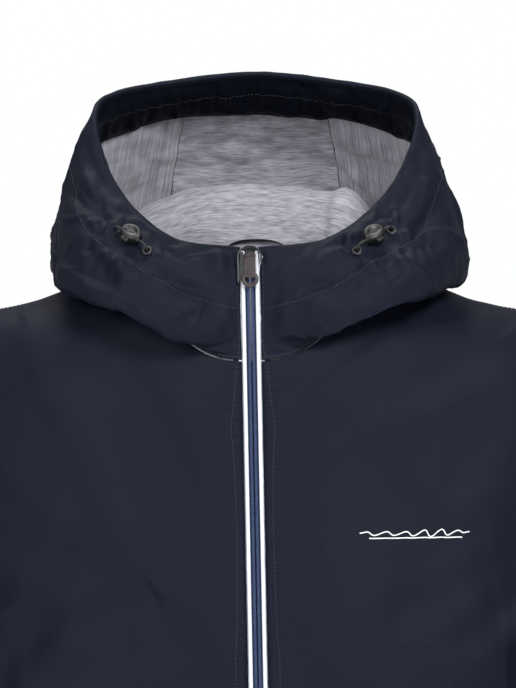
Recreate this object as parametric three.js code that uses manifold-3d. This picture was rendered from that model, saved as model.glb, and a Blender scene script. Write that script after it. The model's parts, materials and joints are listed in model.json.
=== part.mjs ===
// A hooded foul weather jacket as an assembly of sewn panels, a full-length zip and hood adjusters.
// Millimetres, +Z up, -Y is the wearer's front, +X the wearer's left. The group's origin is the hook
// point of the hanger loop, so the pattern is drawn about the back neck seam and then shifted.
import * as THREE from "three";
import { mergeVertices } from "three/addons/utils/BufferGeometryUtils.js";
import Module from "manifold-3d";

const wasm = await Module();
wasm.setup();

// Driving dimensions of the garment
const BODY_LENGTH = 705; // back neck seam to hem
const SHOULDER_HALF = 236; // centre back to shoulder point
const CHEST_HALF = 232; // half the body's width at the underarm
const NECK_HALF = 92;
const UNDERARM_DROP = 300;
const SLEEVE_REACH = 700; // neck seam level to the end of the sleeve
const CUFF_HALF = 38;
const CUFF_LENGTH = 34;
const HOOD_RISE = 149; // neck seam to the standing back rim
const HOOD_HALF = 164;
const FRONT_NECK_DROP = 77;
const FACING_WIDTH = 46;
const CENTRE_PANEL_DEG = 156; // hood angle of the seam between side and centre panel

// Cloth layers, as distances inwards from the outer surface
const SHELL = [0, 1.6];
const MIDDLE = [3.2, 4.6];
const LINING = [6.2, 7.4];
const HOOD_SHELL = [0, 1.2];
const HOOD_LINING = [1.8, 3];
const HOOD_FACING = [7, 8];
const GAP = 0.3;

// Zip chain, piping and slider
const ZIP_TOP_Z = 8;
const ZIP_TOP_Y = -158;
const ZIP_LEAN = 0.11; // forward travel per millimetre of drop
const ZIP_TOP_X = -5;
const ZIP_DRIFT = 0.02; // sideways travel per millimetre of drop
const CHAIN_GAP_HALF = 0.9;
const COIL_WIDTH = 2;
const COIL_DEPTH = [0.8, 2.8];
const TAPE_HALF = 14;
const TAPE_DEPTH = [2.3, 3.1];
const PIPING_X = 5.4;
const PIPING_RADIUS = 1.5;
const PANEL_EDGE = 7.5;
const FLAP_HALF = 24;
const SLIDER_LENGTH = 14;
const SLIDER_HALF = 4.6;
const PLATE_FRONT = [-2.8, -1.3];
const PLATE_BACK = [3.4, 4.6];
const PIN_Y = -4.4;
const PIN_RADIUS = 0.6;
const PULLER_LENGTH = 25;
const PULLER_RING = 6.5;

const GARAGE = { outer: 9.6, inner: 8.2, centre: -6, depth: 3.4, legs: [-26, -10] };
const RETAINER_LENGTH = 14;
const RETAINER_DEPTH = [0.4, 3.2];

// Pocket zip, by torso angle and level, and how far its bag reaches past it
const POCKET_TOP = { deg: 50, level: 0.235 };
const POCKET_BOTTOM = { deg: 56, level: 0.1 };
const POCKET_SLOT_HALF = 7;
const POCKET_TAPE_DEPTH = [0.2, 1.8];
const POCKET_BAG = { front: 26, back: 10, below: 0.036, above: 0.02 };

// Hood cord and its locks
const CORD_RADIUS = 1.1;
const TUNNEL_DEPTH = 4.1;
const TUNNEL_FROM_RIM = 28;
const EYELET_DEG = { lower: 37, upper: 50.5 };
const EYELET_HOLE = 2.8;
const LOCK = { length: 18, width: 14, thickness: 8.4, bore: 1.7, top: 5.5 };
const PLUNGER = { length: 6, thickness: 4.8, out: 2.4, travel: 2, depth: 8.4 };
const POCKET_FLOOR = 2; // wall under the lock's spring
const CORD_BEND = 4.6;
const CORD_HEIGHT = CORD_BEND + 1.9; // of the cord in the lock above the line through its eyelets
const SPRING = { radius: 1.7, wire: 0.3, turns: 3 };

// Seams, as gaps in each surface's own units
const SEAM_DEG = 0.12; // half a seam's gap, about 0.3 mm at the side
const ARM_GAP_DEG = 0.2;
const SEAM_LEVEL = 0.002; // how far short of the neck seam the panels stop
const LINING_FROM = 0.012;
const LINING_BITE = 2.2;
const HEM_LEVELS = [0.002, 0.06];
const NECK_TAPE_LEVELS = [0.965, 0.9985];
const HOOD_SEAM_DEG = 0.15;
const HOOD_START = 0.011;
const FACING_SHARE = 0.98; // the facing stops just short of the turned rim
const RIM_HEIGHT = 2.4;
const RIM_GAP = 0.95;
const SLEEVE_SEAM = 0.0015;
const SLEEVE_START = 0.001;
const SLEEVE_LINING = [2.2, 3.4];
const CUFF_LAYER = [-0.4, 3];
const CUFF_GAP = 0.0008;
const SLEEVE_RUN = 850; // length that one unit of the sleeve's run stands for at the cuff

// Corner grids: layers of the same panel share columns and rows, so that they stay parallel
const FRONT_COLUMNS = 8;
const BACK_COLUMNS = 12;
const TORSO_ROWS = { below: 4, arm: 6, above: 3 };
const TORSO_ROW_COUNT = TORSO_ROWS.below + TORSO_ROWS.arm + TORSO_ROWS.above;
const SLEEVE_COLUMNS = 2 * TORSO_ROWS.arm; // the sleeve's head is drawn on the armhole's own corners
const SLEEVE_ROWS = { all: 10, unlined: 2 };
const HOOD_GRID = { deg: 12, lining: 10, facing: 3 };

// Chest embroidery, by torso angle and level; the level falls as the panel's rows rise to the side
const EMBROIDERY = { deg: 14.5, wide: 24, level: 0.487, fall: 0.019, high: 0.015, depth: [-0.9, -0.3] };

const HOOK = new THREE.Vector3(0, -4, 16);
const jacket = new THREE.Group();
jacket.position.copy(HOOK).negate();

// Finishes
const finish = (color, roughness, metalness = 0) =>
  new THREE.MeshStandardMaterial({ color, roughness, metalness });
const NYLON = finish(0x2a2e3a, 0.62);
const FACING = finish(0x0c1019, 0.6);
const JERSEY = finish(0x767580, 0.95);
const TAPE = finish(0x405278, 0.8);
const PIPING = finish(0xecf2fa, 0.7);
const GUNMETAL = finish(0x2b2422, 0.35, 0.9);
const BLACK = finish(0x08080a, 0.5);
const THREAD = finish(0xf0f0f2, 0.6);
const STEEL = finish(0x9a9a9c, 0.3, 1);

const rad = THREE.MathUtils.degToRad;
const clamp = THREE.MathUtils.clamp;
const smooth = (t) => THREE.MathUtils.smoothstep(t, 0, 1);

/** Smooth curve through evenly spaced values, 0 to 1, carried on straight past both ends. */
function through(values, t) {
  const last = values.length - 1;
  const at = (i) => {
    if (i < 0) return 2 * values[0] - values[1];
    if (i > last) return 2 * values[last] - values[last - 1];
    return values[i];
  };
  const i = clamp(Math.floor(t * last), 0, last - 1);
  const f = t * last - i;
  const [a, b, c, d] = [at(i - 1), at(i), at(i + 1), at(i + 2)];
  const bend = 2 * b + (c - a) * f + (2 * a - 5 * b + 4 * c - d) * f * f;
  return 0.5 * (bend + (3 * b - a - 3 * c + d) * f * f * f);
}

const zipY = (z) => ZIP_TOP_Y - (ZIP_TOP_Z - z) * ZIP_LEAN;
const zipX = (z) => ZIP_TOP_X + (ZIP_TOP_Z - z) * ZIP_DRIFT;

// Torso: each level is an oval ring that turns into the neck seam over the shoulders
const SHOULDER_DROP = (SHOULDER_HALF - NECK_HALF) * 0.42;
const LEVELS = [
  { half: CHEST_HALF, mid: -98, side: -BODY_LENGTH, front: -BODY_LENGTH, back: [22, -BODY_LENGTH] },
  { half: CHEST_HALF - 6, mid: -90, side: -490, front: -490, back: [20, -490] },
  { half: CHEST_HALF, mid: -76, side: -UNDERARM_DROP, front: -UNDERARM_DROP, back: [38, -UNDERARM_DROP] },
  { half: SHOULDER_HALF + 4, mid: -68, side: -172, front: -208, back: [42, -182] },
  { half: SHOULDER_HALF, mid: -62, side: -SHOULDER_DROP, front: -135, back: [36, -85] },
  { half: (SHOULDER_HALF + NECK_HALF) / 2, mid: -62, side: -SHOULDER_DROP / 2, front: -104, back: [24, -38] },
  { half: NECK_HALF, mid: -66, side: 0, front: -FRONT_NECK_DROP, back: [6, 0] },
];
const LEVEL_OF = { underarm: 2 / 6, shoulder: 4 / 6 };
const SQUARE = 0.85; // below 1 the ovals are squarer than an ellipse
const level = (key, v) => through(LEVELS.map(key), v);

/** A point of the torso: side is 1 for the wearer's left, deg runs from the front to the centre back. */
function torso(side, deg, v) {
  const front = deg < 90;
  const across = Math.max(Math.sin(rad(deg)), 0) ** SQUARE;
  const along = Math.abs(Math.cos(rad(deg)));
  const half = level((l) => l.half, v);
  const mid = level((l) => l.mid, v);
  const sideZ = level((l) => l.side, v);
  const endZ = front ? level((l) => l.front, v) : level((l) => l.back[1], v);
  const endY = front ? zipY(endZ) : level((l) => l.back[0], v);
  const edge = front ? PANEL_EDGE : 0;
  const x = side * (edge + (half - edge) * across) + (front ? zipX(endZ) * along ** 2 : 0);
  return new THREE.Vector3(x, mid + (endY - mid) * along ** SQUARE, sideZ + (endZ - sideZ) * along ** 2);
}

/** The torso angle at a distance from the centre front, near the zip. */
function degAt(distance, v) {
  const share = (distance - PANEL_EDGE) / (level((l) => l.half, v) - PANEL_EDGE);
  return THREE.MathUtils.radToDeg(Math.asin(Math.max(share, 0) ** (1 / SQUARE)));
}

// Armhole: an oval bite out of the panels' side edges
const ARMHOLE = { mid: 0.5, half: 1 / 6, bite: 32 };
const armholePoint = (side, turn) =>
  torso(side, 90 + ARMHOLE.bite * Math.sin(turn), ARMHOLE.mid + ARMHOLE.half * Math.cos(turn));

/** Level and armhole bite at an even share of a panel's height, denser round the armhole. */
function torsoRow(share, from = 0) {
  const row = share * TORSO_ROW_COUNT;
  if (row <= TORSO_ROWS.below) {
    return { v: from + (LEVEL_OF.underarm - from) * (row / TORSO_ROWS.below), bite: 0 };
  }
  const turn = (row - TORSO_ROWS.below) / TORSO_ROWS.arm;
  if (turn < 1) {
    const angle = Math.PI * turn;
    return { v: ARMHOLE.mid - ARMHOLE.half * Math.cos(angle), bite: ARMHOLE.bite * Math.sin(angle) };
  }
  const rest = (row - TORSO_ROWS.below - TORSO_ROWS.arm) / TORSO_ROWS.above;
  return { v: LEVEL_OF.shoulder + (1 - SEAM_LEVEL - LEVEL_OF.shoulder) * rest, bite: 0 };
}

// Hood: rows of points from the neck seam to the rim, in sections from the zip to the centre back
const HOOD_SECTIONS = [
  [
    [49, -168, -56], [56, -179, -60], [62, -184, -52], [66, -183, -35],
    [68, -175, -15], [66, -161, 4], [62, -146, 18],
  ],
  [
    [86, -131, -12], [101, -152, -29], [118, -165, -34], [131, -163, -20],
    [134, -149, 4], [122, -130, 32], [106, -112, 56],
  ],
  [
    [106, -68, 10], [134, -80, -8], [158, -86, -15], [HOOD_HALF, -84, 2],
    [156, -78, 34], [143, -70, 76], [128, -62, 112],
  ],
  [
    [86, -24, 16], [100, -12, 20], [124, 4, -4], [144, 16, -14],
    [146, 16, 26], [130, -2, 86], [112, -24, 132],
  ],
  [
    [48, 0, 30], [54, 14, 46], [66, 36, 16], [80, 58, -30],
    [92, 80, 8], [80, 56, 88], [60, -4, HOOD_RISE - 6],
  ],
  [
    [0, 8, 32], [0, 22, 53], [0, 44, 22], [0, 70, -34],
    [0, 98, 6], [0, 78, 84], [0, 4, HOOD_RISE],
  ],
];
const HOOD_ROWS = 7;
const FACING_FROM = [0.46, 0.71, 0.8, 0.84, 0.878, 0.922, 0.933];

/** Smooth curve over the hood's sections, mirrored at the centre back. */
function round(values, t) {
  const last = values.length - 1;
  const i = clamp(Math.floor(t * last), 0, last - 1);
  const f = t * last - i;
  const a = i > 0 ? values[i - 1] : 2 * values[0] - values[1];
  const d = i + 2 > last ? values[last - 1] : values[i + 2];
  const [b, c] = [values[i], values[i + 1]];
  const bend = 2 * b + (c - a) * f + (2 * a - 5 * b + 4 * c - d) * f * f;
  return 0.5 * (bend + (3 * b - a - 3 * c + d) * f * f * f);
}

/** A point of the hood: t runs from the neck seam to the rim. */
function hood(side, deg, t) {
  const share = deg / 180;
  const seam = torso(1, deg, 1);
  seam.x -= deg < 90 ? zipX(-FRONT_NECK_DROP) * Math.cos(rad(deg)) ** 2 : 0;
  const front = (row) => {
    const z = -FRONT_NECK_DROP + ((ZIP_TOP_Z + FRONT_NECK_DROP) * row) / HOOD_ROWS;
    return [PANEL_EDGE, zipY(z), z];
  };
  const rows = ["x", "y", "z"].map((axis, k) => {
    const column = [seam[axis]];
    for (let row = 1; row <= HOOD_ROWS; row++) {
      const values = [front(row)[k], ...HOOD_SECTIONS.map((s) => s[row - 1][k])];
      // sideways distances change sign across the centre back, the others are mirrored there
      column.push(k ? round(values, share) : through(values, share));
    }
    return through(column, t);
  });
  const x = side * rows[0] + (deg < 90 ? zipX(rows[2]) * Math.cos(rad(deg)) ** 2 : 0);
  return new THREE.Vector3(x, rows[1], rows[2]);
}

// Sleeve: an oval tube between an outer and an inner line, sewn to the armhole
const SLEEVE = {
  outerX: [SHOULDER_HALF, 276, 306, 330, 352, 376],
  outerZ: [-SHOULDER_DROP, -118, -230, -370, -530, -SLEEVE_REACH],
  innerX: [CHEST_HALF, 236, 246, 264, 284, 376 - 2 * CUFF_HALF],
  innerZ: [-UNDERARM_DROP, -318, -372, -470, -580, -SLEEVE_REACH + 10],
  mid: [-68, -70, -76, -88, -102, -118],
  depth: [66, 68, 68, 62, 52, CUFF_HALF],
};
const SLEEVE_BLEND = 0.16;

/** A point of the sleeve: turn is 0 on the outer line, negative to the front, w runs to the cuff. */
function sleeve(side, turn, w) {
  const outer = new THREE.Vector2(through(SLEEVE.outerX, w), through(SLEEVE.outerZ, w));
  const inner = new THREE.Vector2(through(SLEEVE.innerX, w), through(SLEEVE.innerZ, w));
  const centre = outer.clone().add(inner).divideScalar(2);
  const reach = outer.sub(inner).divideScalar(2).multiplyScalar(Math.cos(turn));
  const y = through(SLEEVE.mid, w) + through(SLEEVE.depth, w) * Math.sin(turn);
  const tube = new THREE.Vector3(side * (centre.x + reach.x), y, centre.y + reach.y);
  const share = smooth(clamp(w / SLEEVE_BLEND, 0, 1));
  return share < 1 ? armholePoint(side, turn).lerp(tube, share) : tube;
}

/** Turns a closed geometry's faces outwards when its map has mirrored it. */
function facingOut(geometry) {
  const position = geometry.getAttribute("position");
  const index = geometry.index.array;
  const corner = (i) => new THREE.Vector3().fromBufferAttribute(position, index[i]);
  let volume = 0;
  for (let i = 0; i < index.length; i += 3) {
    volume += corner(i).dot(corner(i + 1).cross(corner(i + 2)));
  }
  if (volume < 0) {
    for (let i = 0; i < index.length; i += 3) [index[i], index[i + 1]] = [index[i + 1], index[i]];
  }
  return geometry;
}

/** Welds a geometry's corners so that it is one closed body, without the slivers that closes up. */
function welded(geometry) {
  const bare = geometry.clone();
  bare.deleteAttribute("normal");
  bare.deleteAttribute("uv");
  const merged = mergeVertices(bare, 1e-3);
  const kept = [];
  for (let i = 0; i < merged.index.count; i += 3) {
    const [a, b, c] = merged.index.array.subarray(i, i + 3);
    if (a !== b && b !== c && c !== a) kept.push(a, b, c);
  }
  merged.setIndex(kept);
  return facingOut(merged);
}

/**
 * A panel of cloth: a box bent onto a surface. place(a, b) gives a surface point for a and b in 0 to 1,
 * layer is the panel's depth range, inwards is 1 or -1 for the side the depth goes to.
 */
function cloth(place, layer, [columns, rows], inwards) {
  const box = new THREE.BoxGeometry(1, 1, 1, columns, rows, 1);
  const position = box.getAttribute("position");
  const step = 1e-3;
  for (let i = 0; i < position.count; i++) {
    const a = position.getX(i) + 0.5;
    const b = position.getY(i) + 0.5;
    const depth = position.getZ(i) > 0 ? layer[0] : layer[1];
    const da = place(Math.min(a + step, 1), b).sub(place(Math.max(a - step, 0), b));
    const db = place(a, Math.min(b + step, 1)).sub(place(a, Math.max(b - step, 0)));
    const normal = da.cross(db).normalize();
    const point = place(a, b).addScaledVector(normal, -inwards * depth);
    position.setXYZ(i, point.x, point.y, point.z);
  }
  // The inner face's squares are cut along the same diagonal as the outer face's, so layers stay parallel
  const inner = box.groups[5];
  const index = box.index.array;
  for (let i = inner.start; i < inner.start + inner.count; i += 6) {
    const [a, b, d, , c] = index.subarray(i, i + 6);
    index.set([a, b, c, a, c, d], i);
  }
  return welded(box);
}

const solid = (geometry) => {
  const g = welded(geometry);
  return new wasm.Manifold(
    new wasm.Mesh({
      numProp: 3,
      vertProperties: g.getAttribute("position").array,
      triVerts: new Uint32Array(g.index.array),
    }),
  );
};

/** Back from a solid to a geometry. */
function shaped(body) {
  const { numProp, vertProperties, triVerts } = body.getMesh();
  const geometry = new THREE.BufferGeometry();
  const corners = new Float32Array((vertProperties.length / numProp) * 3);
  for (let i = 0; i < corners.length / 3; i++) {
    corners.set(vertProperties.subarray(i * numProp, i * numProp + 3), i * 3);
  }
  geometry.setAttribute("position", new THREE.BufferAttribute(corners, 3));
  geometry.setIndex(new THREE.BufferAttribute(new Uint32Array(triVerts), 1));
  return geometry;
}

const box = (x, y, z) =>
  new THREE.BoxGeometry(x[1] - x[0], y[1] - y[0], z[1] - z[0]).translate(
    (x[0] + x[1]) / 2,
    (y[0] + y[1]) / 2,
    (z[0] + z[1]) / 2,
  );

function add(name, geometry, material, parent = jacket) {
  const mesh = new THREE.Mesh(geometry, material);
  mesh.name = name;
  parent.add(mesh);
  return mesh;
}

const SIDES = [
  { side: 1, word: "left" },
  { side: -1, word: "right" },
];

/** Pocket frame on one front panel: origin at the slot's top, z up the slot, y inwards. */
function pocketFrame(side) {
  const top = torso(side, POCKET_TOP.deg, POCKET_TOP.level);
  const bottom = torso(side, POCKET_BOTTOM.deg, POCKET_BOTTOM.level);
  const up = top.clone().sub(bottom).normalize();
  const deg = (POCKET_TOP.deg + POCKET_BOTTOM.deg) / 2;
  const v = (POCKET_TOP.level + POCKET_BOTTOM.level) / 2;
  const around = torso(side, deg + 1, v).sub(torso(side, deg - 1, v));
  const inwards = around.clone().cross(up).normalize().multiplyScalar(-side);
  const lateral = inwards.clone().cross(up).normalize();
  const frame = new THREE.Group();
  const middle = torso(side, deg, v);
  const length = top.distanceTo(bottom);
  const origin = middle.addScaledVector(up, length / 2);
  const matrix = new THREE.Matrix4().makeBasis(lateral, inwards, up).setPosition(origin);
  matrix.decompose(frame.position, frame.quaternion, frame.scale);
  return { frame, matrix, length };
}

/** Front and back panels of the shell, with their pocket slots. */
function shellPanels() {
  for (const { side, word } of SIDES) {
    const front = (a, b) => {
      const { v, bite } = torsoRow(b);
      const last = 90 - bite - SEAM_DEG - (bite ? ARM_GAP_DEG : 0);
      return torso(side, last * a, v);
    };
    const { matrix, length } = pocketFrame(side);
    const slotHalf = POCKET_SLOT_HALF + GAP;
    const slot = box([-slotHalf, slotHalf], [-9, 9], [-length - GAP, GAP]);
    const panel = solid(cloth(front, SHELL, [FRONT_COLUMNS, TORSO_ROW_COUNT], side));
    add(`front_panel_${word}`, shaped(panel.subtract(solid(slot.applyMatrix4(matrix)))), NYLON);
  }
  const back = (a, b) => {
    const { v, bite } = torsoRow(b);
    const last = 90 - bite - SEAM_DEG - (bite ? ARM_GAP_DEG : 0);
    const turn = last * (2 * a - 1);
    return torso(turn < 0 ? 1 : -1, 180 - Math.abs(turn), v);
  };
  add("back_panel", cloth(back, SHELL, [BACK_COLUMNS, TORSO_ROW_COUNT], 1), NYLON);
}

/** Body lining in three pieces, inside the shell. */
function bodyLining() {
  for (const { side, word } of SIDES) {
    const place = (a, b) => {
      const { v, bite } = torsoRow(b, LINING_FROM);
      const first = degAt(FLAP_HALF + 4 * GAP, v);
      const last = 90 - bite - 2 * ARM_GAP_DEG - (bite ? LINING_BITE : SEAM_DEG);
      return torso(side, first + (last - first) * a, v);
    };
    add(`body_lining_${word}`, cloth(place, LINING, [6, TORSO_ROW_COUNT], side), JERSEY);
  }
  const place = (a, b) => {
    const { v, bite } = torsoRow(b, LINING_FROM);
    const last = 90 - bite - 2 * ARM_GAP_DEG - (bite ? LINING_BITE : SEAM_DEG);
    const turn = last * (2 * a - 1);
    return torso(turn < 0 ? 1 : -1, 180 - Math.abs(turn), v);
  };
  add("body_lining_back", cloth(place, LINING, [BACK_COLUMNS, TORSO_ROW_COUNT], 1), JERSEY);
}

/** Bands in the layer between shell and lining: the hem facing and the neck tape. */
function bands() {
  const ring = ([from, to]) => (a, b) => {
    const turn = 360 * a - 180;
    const v = from + (to - from) * b;
    const reach = 180 - degAt(FLAP_HALF + 1, v);
    const part = (turn / 180) * reach;
    return torso(part < 0 ? 1 : -1, 180 - Math.abs(part), v);
  };
  add("hem_facing", cloth(ring(HEM_LEVELS), MIDDLE, [2 * BACK_COLUMNS, 1], 1), NYLON);
  add("neck_tape", cloth(ring(NECK_TAPE_LEVELS), MIDDLE, [2 * BACK_COLUMNS, 1], 1), FACING);
}

/** Sleeves with their linings and elasticated cuffs. */
function sleeves() {
  for (const { side, word } of SIDES) {
    const tube = (from, to) => (a, b) => {
      const turn = Math.PI * (2 * a - 1) * (1 - SLEEVE_SEAM);
      return sleeve(side, turn, from + (to - from) * b);
    };
    const shell = cloth(tube(SLEEVE_START, 1), SHELL, [SLEEVE_COLUMNS, SLEEVE_ROWS.all], -side);
    add(`sleeve_${word}`, shell, NYLON);
    const unlined = SLEEVE_ROWS.unlined / SLEEVE_ROWS.all;
    const liningGrid = [SLEEVE_COLUMNS, SLEEVE_ROWS.all - SLEEVE_ROWS.unlined];
    add(`sleeve_lining_${word}`, cloth(tube(unlined, 1), SLEEVE_LINING, liningGrid, -side), JERSEY);
    const wrist = tube(1 + CUFF_GAP, 1 + CUFF_LENGTH / SLEEVE_RUN);
    add(`cuff_${word}`, cloth(wrist, CUFF_LAYER, [SLEEVE_COLUMNS, 1], -side), NYLON);
  }
}

/** Hood panels, linings, facings and rim. */
function hoodPanels() {
  const half = (side, from, to, row) => (a, b) => {
    const deg = from + (to - from) * a;
    return hood(side, deg, row(deg, b));
  };
  const centre = (row) => (a, b) => {
    const turn = (180 - CENTRE_PANEL_DEG - HOOD_SEAM_DEG) * (2 * a - 1);
    const deg = 180 - Math.abs(turn);
    return hood(turn < 0 ? 1 : -1, deg, row(deg, b));
  };
  const facingLow = (deg) => through(FACING_FROM, deg / 180);
  const toFacing = (deg, b) => HOOD_START + (facingLow(deg) - HOOD_START) * b;
  const toRim = (deg, b) => facingLow(deg) + (1 - facingLow(deg)) * b;
  const split = HOOD_GRID.lining / (HOOD_GRID.lining + HOOD_GRID.facing);
  const whole = (deg, b) => (b < split ? toFacing(deg, b / split) : toRim(deg, (b - split) / (1 - split)));
  const rows = HOOD_GRID.lining + HOOD_GRID.facing;
  const columns = (from, to) => Math.round((to - from) / HOOD_GRID.deg);
  for (const { side, word } of SIDES) {
    const seam = CENTRE_PANEL_DEG - HOOD_SEAM_DEG;
    let panel = solid(cloth(half(side, 0, seam, whole), HOOD_SHELL, [columns(0, seam), rows], side));
    for (const deg of Object.values(EYELET_DEG)) {
      const hole = new THREE.CylinderGeometry(EYELET_HOLE, EYELET_HOLE, 8, 16);
      panel = panel.subtract(solid(hole.applyMatrix4(eyeletMatrix(side, deg))));
    }
    add(`hood_side_${word}`, shaped(panel), NYLON);
    const inner = half(side, HOOD_GRID.deg, seam, toFacing);
    const liningGrid = [columns(HOOD_GRID.deg, seam), HOOD_GRID.lining];
    add(`hood_lining_${word}`, cloth(inner, HOOD_LINING, liningGrid, side), JERSEY);
    const facing = half(side, 0, 180 - HOOD_SEAM_DEG, (deg, b) => toRim(deg, b * FACING_SHARE));
    const facingGrid = [columns(0, 180), HOOD_GRID.facing];
    add(`hood_facing_${word}`, cloth(facing, HOOD_FACING, facingGrid, side), FACING);
  }
  const centreColumns = 2 * columns(CENTRE_PANEL_DEG, 180);
  add("hood_centre_panel", cloth(centre(whole), HOOD_SHELL, [centreColumns, rows], 1), NYLON);
  const innerGrid = [centreColumns, HOOD_GRID.lining];
  add("hood_lining_centre", cloth(centre(toFacing), HOOD_LINING, innerGrid, 1), JERSEY);
  const edge = (a, b) => {
    const turn = 360 * a - 180;
    const [side, deg] = [turn < 0 ? 1 : -1, clamp(180 - Math.abs(turn), 0, 180)];
    const rim = hood(side, deg, 1);
    const rise = rim.clone().sub(hood(side, deg, 0.995)).normalize();
    return rim.addScaledVector(rise, RIM_GAP + b * RIM_HEIGHT);
  };
  add("hood_rim", cloth(edge, [0, HOOD_FACING[1]], [2 * columns(0, 180), 1], 1), NYLON);
}

/** Outward normal of the hood. */
const outwardAt = (side, deg, t) => {
  const step = 1e-3;
  const da = hood(side, deg + 1, t).sub(hood(side, deg - 1, t));
  const db = hood(side, deg, t + step).sub(hood(side, deg, t - step));
  return da.cross(db).normalize().multiplyScalar(side);
};
const tunnelRow = (deg) => 1 - (TUNNEL_FROM_RIM / FACING_WIDTH) * (1 - through(FACING_FROM, deg / 180));

/** Eyelet frame: its y axis points out of the hood. */
function eyeletMatrix(side, deg) {
  const out = outwardAt(side, deg, tunnelRow(deg));
  const turn = new THREE.Quaternion().setFromUnitVectors(new THREE.Vector3(0, 1, 0), out);
  return new THREE.Matrix4().compose(hood(side, deg, tunnelRow(deg)), turn, new THREE.Vector3(1, 1, 1));
}

/** An eyelet: a flange outside and a barrel through the shell, in one turned profile. */
function eyelet() {
  const profile = [
    [1.6, -2],
    [EYELET_HOLE - GAP, -2],
    [EYELET_HOLE - GAP, GAP],
    [4.4, GAP],
    [4.2, 1.2],
    [1.9, 1.2],
    [1.6, -2],
  ];
  return new THREE.LatheGeometry(profile.map(([x, y]) => new THREE.Vector2(x, y)), 14);
}

/** Lock frame: x along the cord, y out of the hood, z across it, towards the button and down. */
function lockFrame(side) {
  const low = hood(side, EYELET_DEG.lower, tunnelRow(EYELET_DEG.lower));
  const high = hood(side, EYELET_DEG.upper, tunnelRow(EYELET_DEG.upper));
  const deg = (EYELET_DEG.lower + EYELET_DEG.upper) / 2;
  const middle = low.clone().add(high).divideScalar(2);
  const along = high.clone().sub(low).normalize().multiplyScalar(side);
  const out = outwardAt(side, deg, tunnelRow(deg));
  const across = along.clone().cross(out).normalize();
  const away = across.clone().cross(along).normalize();
  const span = high.distanceTo(low);
  return { matrix: new THREE.Matrix4().makeBasis(along, away, across).setPosition(middle), span };
}

/** Cord lock body, plunger and spring, in the lock's frame with the cord along x. */
function cordLock(side, word) {
  const { matrix } = lockFrame(side);
  const frame = new THREE.Group();
  matrix.decompose(frame.position, frame.quaternion, frame.scale);
  const { length, width, thickness, bore, top } = LOCK;
  const outline = new THREE.Shape();
  outline.absellipse(0, top - width / 2, length / 2, width / 2, 0, 2 * Math.PI, false, 0);
  const bevel = 1.2;
  const disc = new THREE.ExtrudeGeometry(outline, {
    depth: thickness - 2 * bevel,
    bevelThickness: bevel,
    bevelSize: bevel,
    bevelOffset: -bevel,
    bevelSegments: 1,
    curveSegments: 8,
  });
  disc.translate(0, 0, -(thickness - 2 * bevel) / 2);
  disc.rotateX(-Math.PI / 2).scale(1, 1, -1);
  const body = solid(disc.translate(0, CORD_HEIGHT, 0));
  const hole = new THREE.CylinderGeometry(bore, bore, length + 4, 16).rotateZ(Math.PI / 2);
  const socket = box(
    [-PLUNGER.length / 2 - GAP, PLUNGER.length / 2 + GAP],
    [CORD_HEIGHT - PLUNGER.thickness / 2 - GAP, CORD_HEIGHT + PLUNGER.thickness / 2 + GAP],
    [top - width + POCKET_FLOOR, top + 4],
  );
  const housing = body.subtract(solid(hole.translate(0, CORD_HEIGHT, 0))).subtract(solid(socket));
  add(`cord_lock_${word}`, shaped(housing), BLACK, frame);
  const stem = box(
    [-PLUNGER.length / 2, PLUNGER.length / 2],
    [CORD_HEIGHT - PLUNGER.thickness / 2, CORD_HEIGHT + PLUNGER.thickness / 2],
    [top - PLUNGER.depth, top + PLUNGER.out],
  );
  const slotTop = bore + PLUNGER.travel + 0.2;
  const slotSides = [CORD_HEIGHT - bore, CORD_HEIGHT + bore];
  const slot = box([-PLUNGER.length, PLUNGER.length], slotSides, [-bore, slotTop]);
  add(`cord_lock_plunger_${word}`, shaped(solid(stem).subtract(solid(slot))), BLACK, frame);
  const low = top - width + POCKET_FLOOR + GAP;
  const high = top - PLUNGER.depth - GAP;
  const { radius, wire, turns } = SPRING;
  const points = Array.from({ length: 12 * turns + 1 }, (_, i) => {
    const angle = (i * Math.PI) / 6;
    const rise = low + wire + ((high - low - 2 * wire) * i) / (12 * turns);
    return new THREE.Vector3(radius * Math.cos(angle), CORD_HEIGHT + radius * Math.sin(angle), rise);
  });
  const coil = rod(new THREE.CatmullRomCurve3(points), wire, 5, 9 * turns);
  add(`cord_lock_spring_${word}`, coil, STEEL, frame);
  jacket.add(frame);
}

/** A round rod along a curve. */
function rod(path, radius, sides, steps) {
  const section = new THREE.Shape();
  for (let i = 0; i < sides; i++) {
    const angle = (2 * Math.PI * i) / sides;
    const [x, y] = [radius * Math.cos(angle), radius * Math.sin(angle)];
    if (i) section.lineTo(x, y);
    else section.moveTo(x, y);
  }
  section.closePath();
  return welded(new THREE.ExtrudeGeometry(section, { steps, extrudePath: path, bevelEnabled: false }));
}

/** Exposed loop of cord: out of one eyelet, straight through the lock and into the other. */
function cordLoop(side, word) {
  const { matrix, span } = lockFrame(side);
  const reach = span / 2;
  const bend = CORD_BEND;
  const corner = (sign) => [
    [reach, -2.6],
    [reach, -0.6],
    [reach, CORD_HEIGHT - bend],
    [reach - bend * 0.076, CORD_HEIGHT - bend * 0.617],
    [reach - bend * 0.293, CORD_HEIGHT - bend * 0.293],
    [reach - bend * 0.617, CORD_HEIGHT - bend * 0.076],
    [reach - bend, CORD_HEIGHT],
  ].map(([x, y]) => new THREE.Vector3(sign * x, y, 0));
  const straight = [-1, 0, 1].map((k) => new THREE.Vector3((k * LOCK.length) / 3, CORD_HEIGHT, 0));
  const points = [...corner(-1), ...straight, ...corner(1).reverse()];
  const path = new THREE.CatmullRomCurve3(points.map((p) => p.applyMatrix4(matrix)));
  add(`cord_loop_${word}`, rod(path, CORD_RADIUS, 8, 26), BLACK);
}

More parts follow.
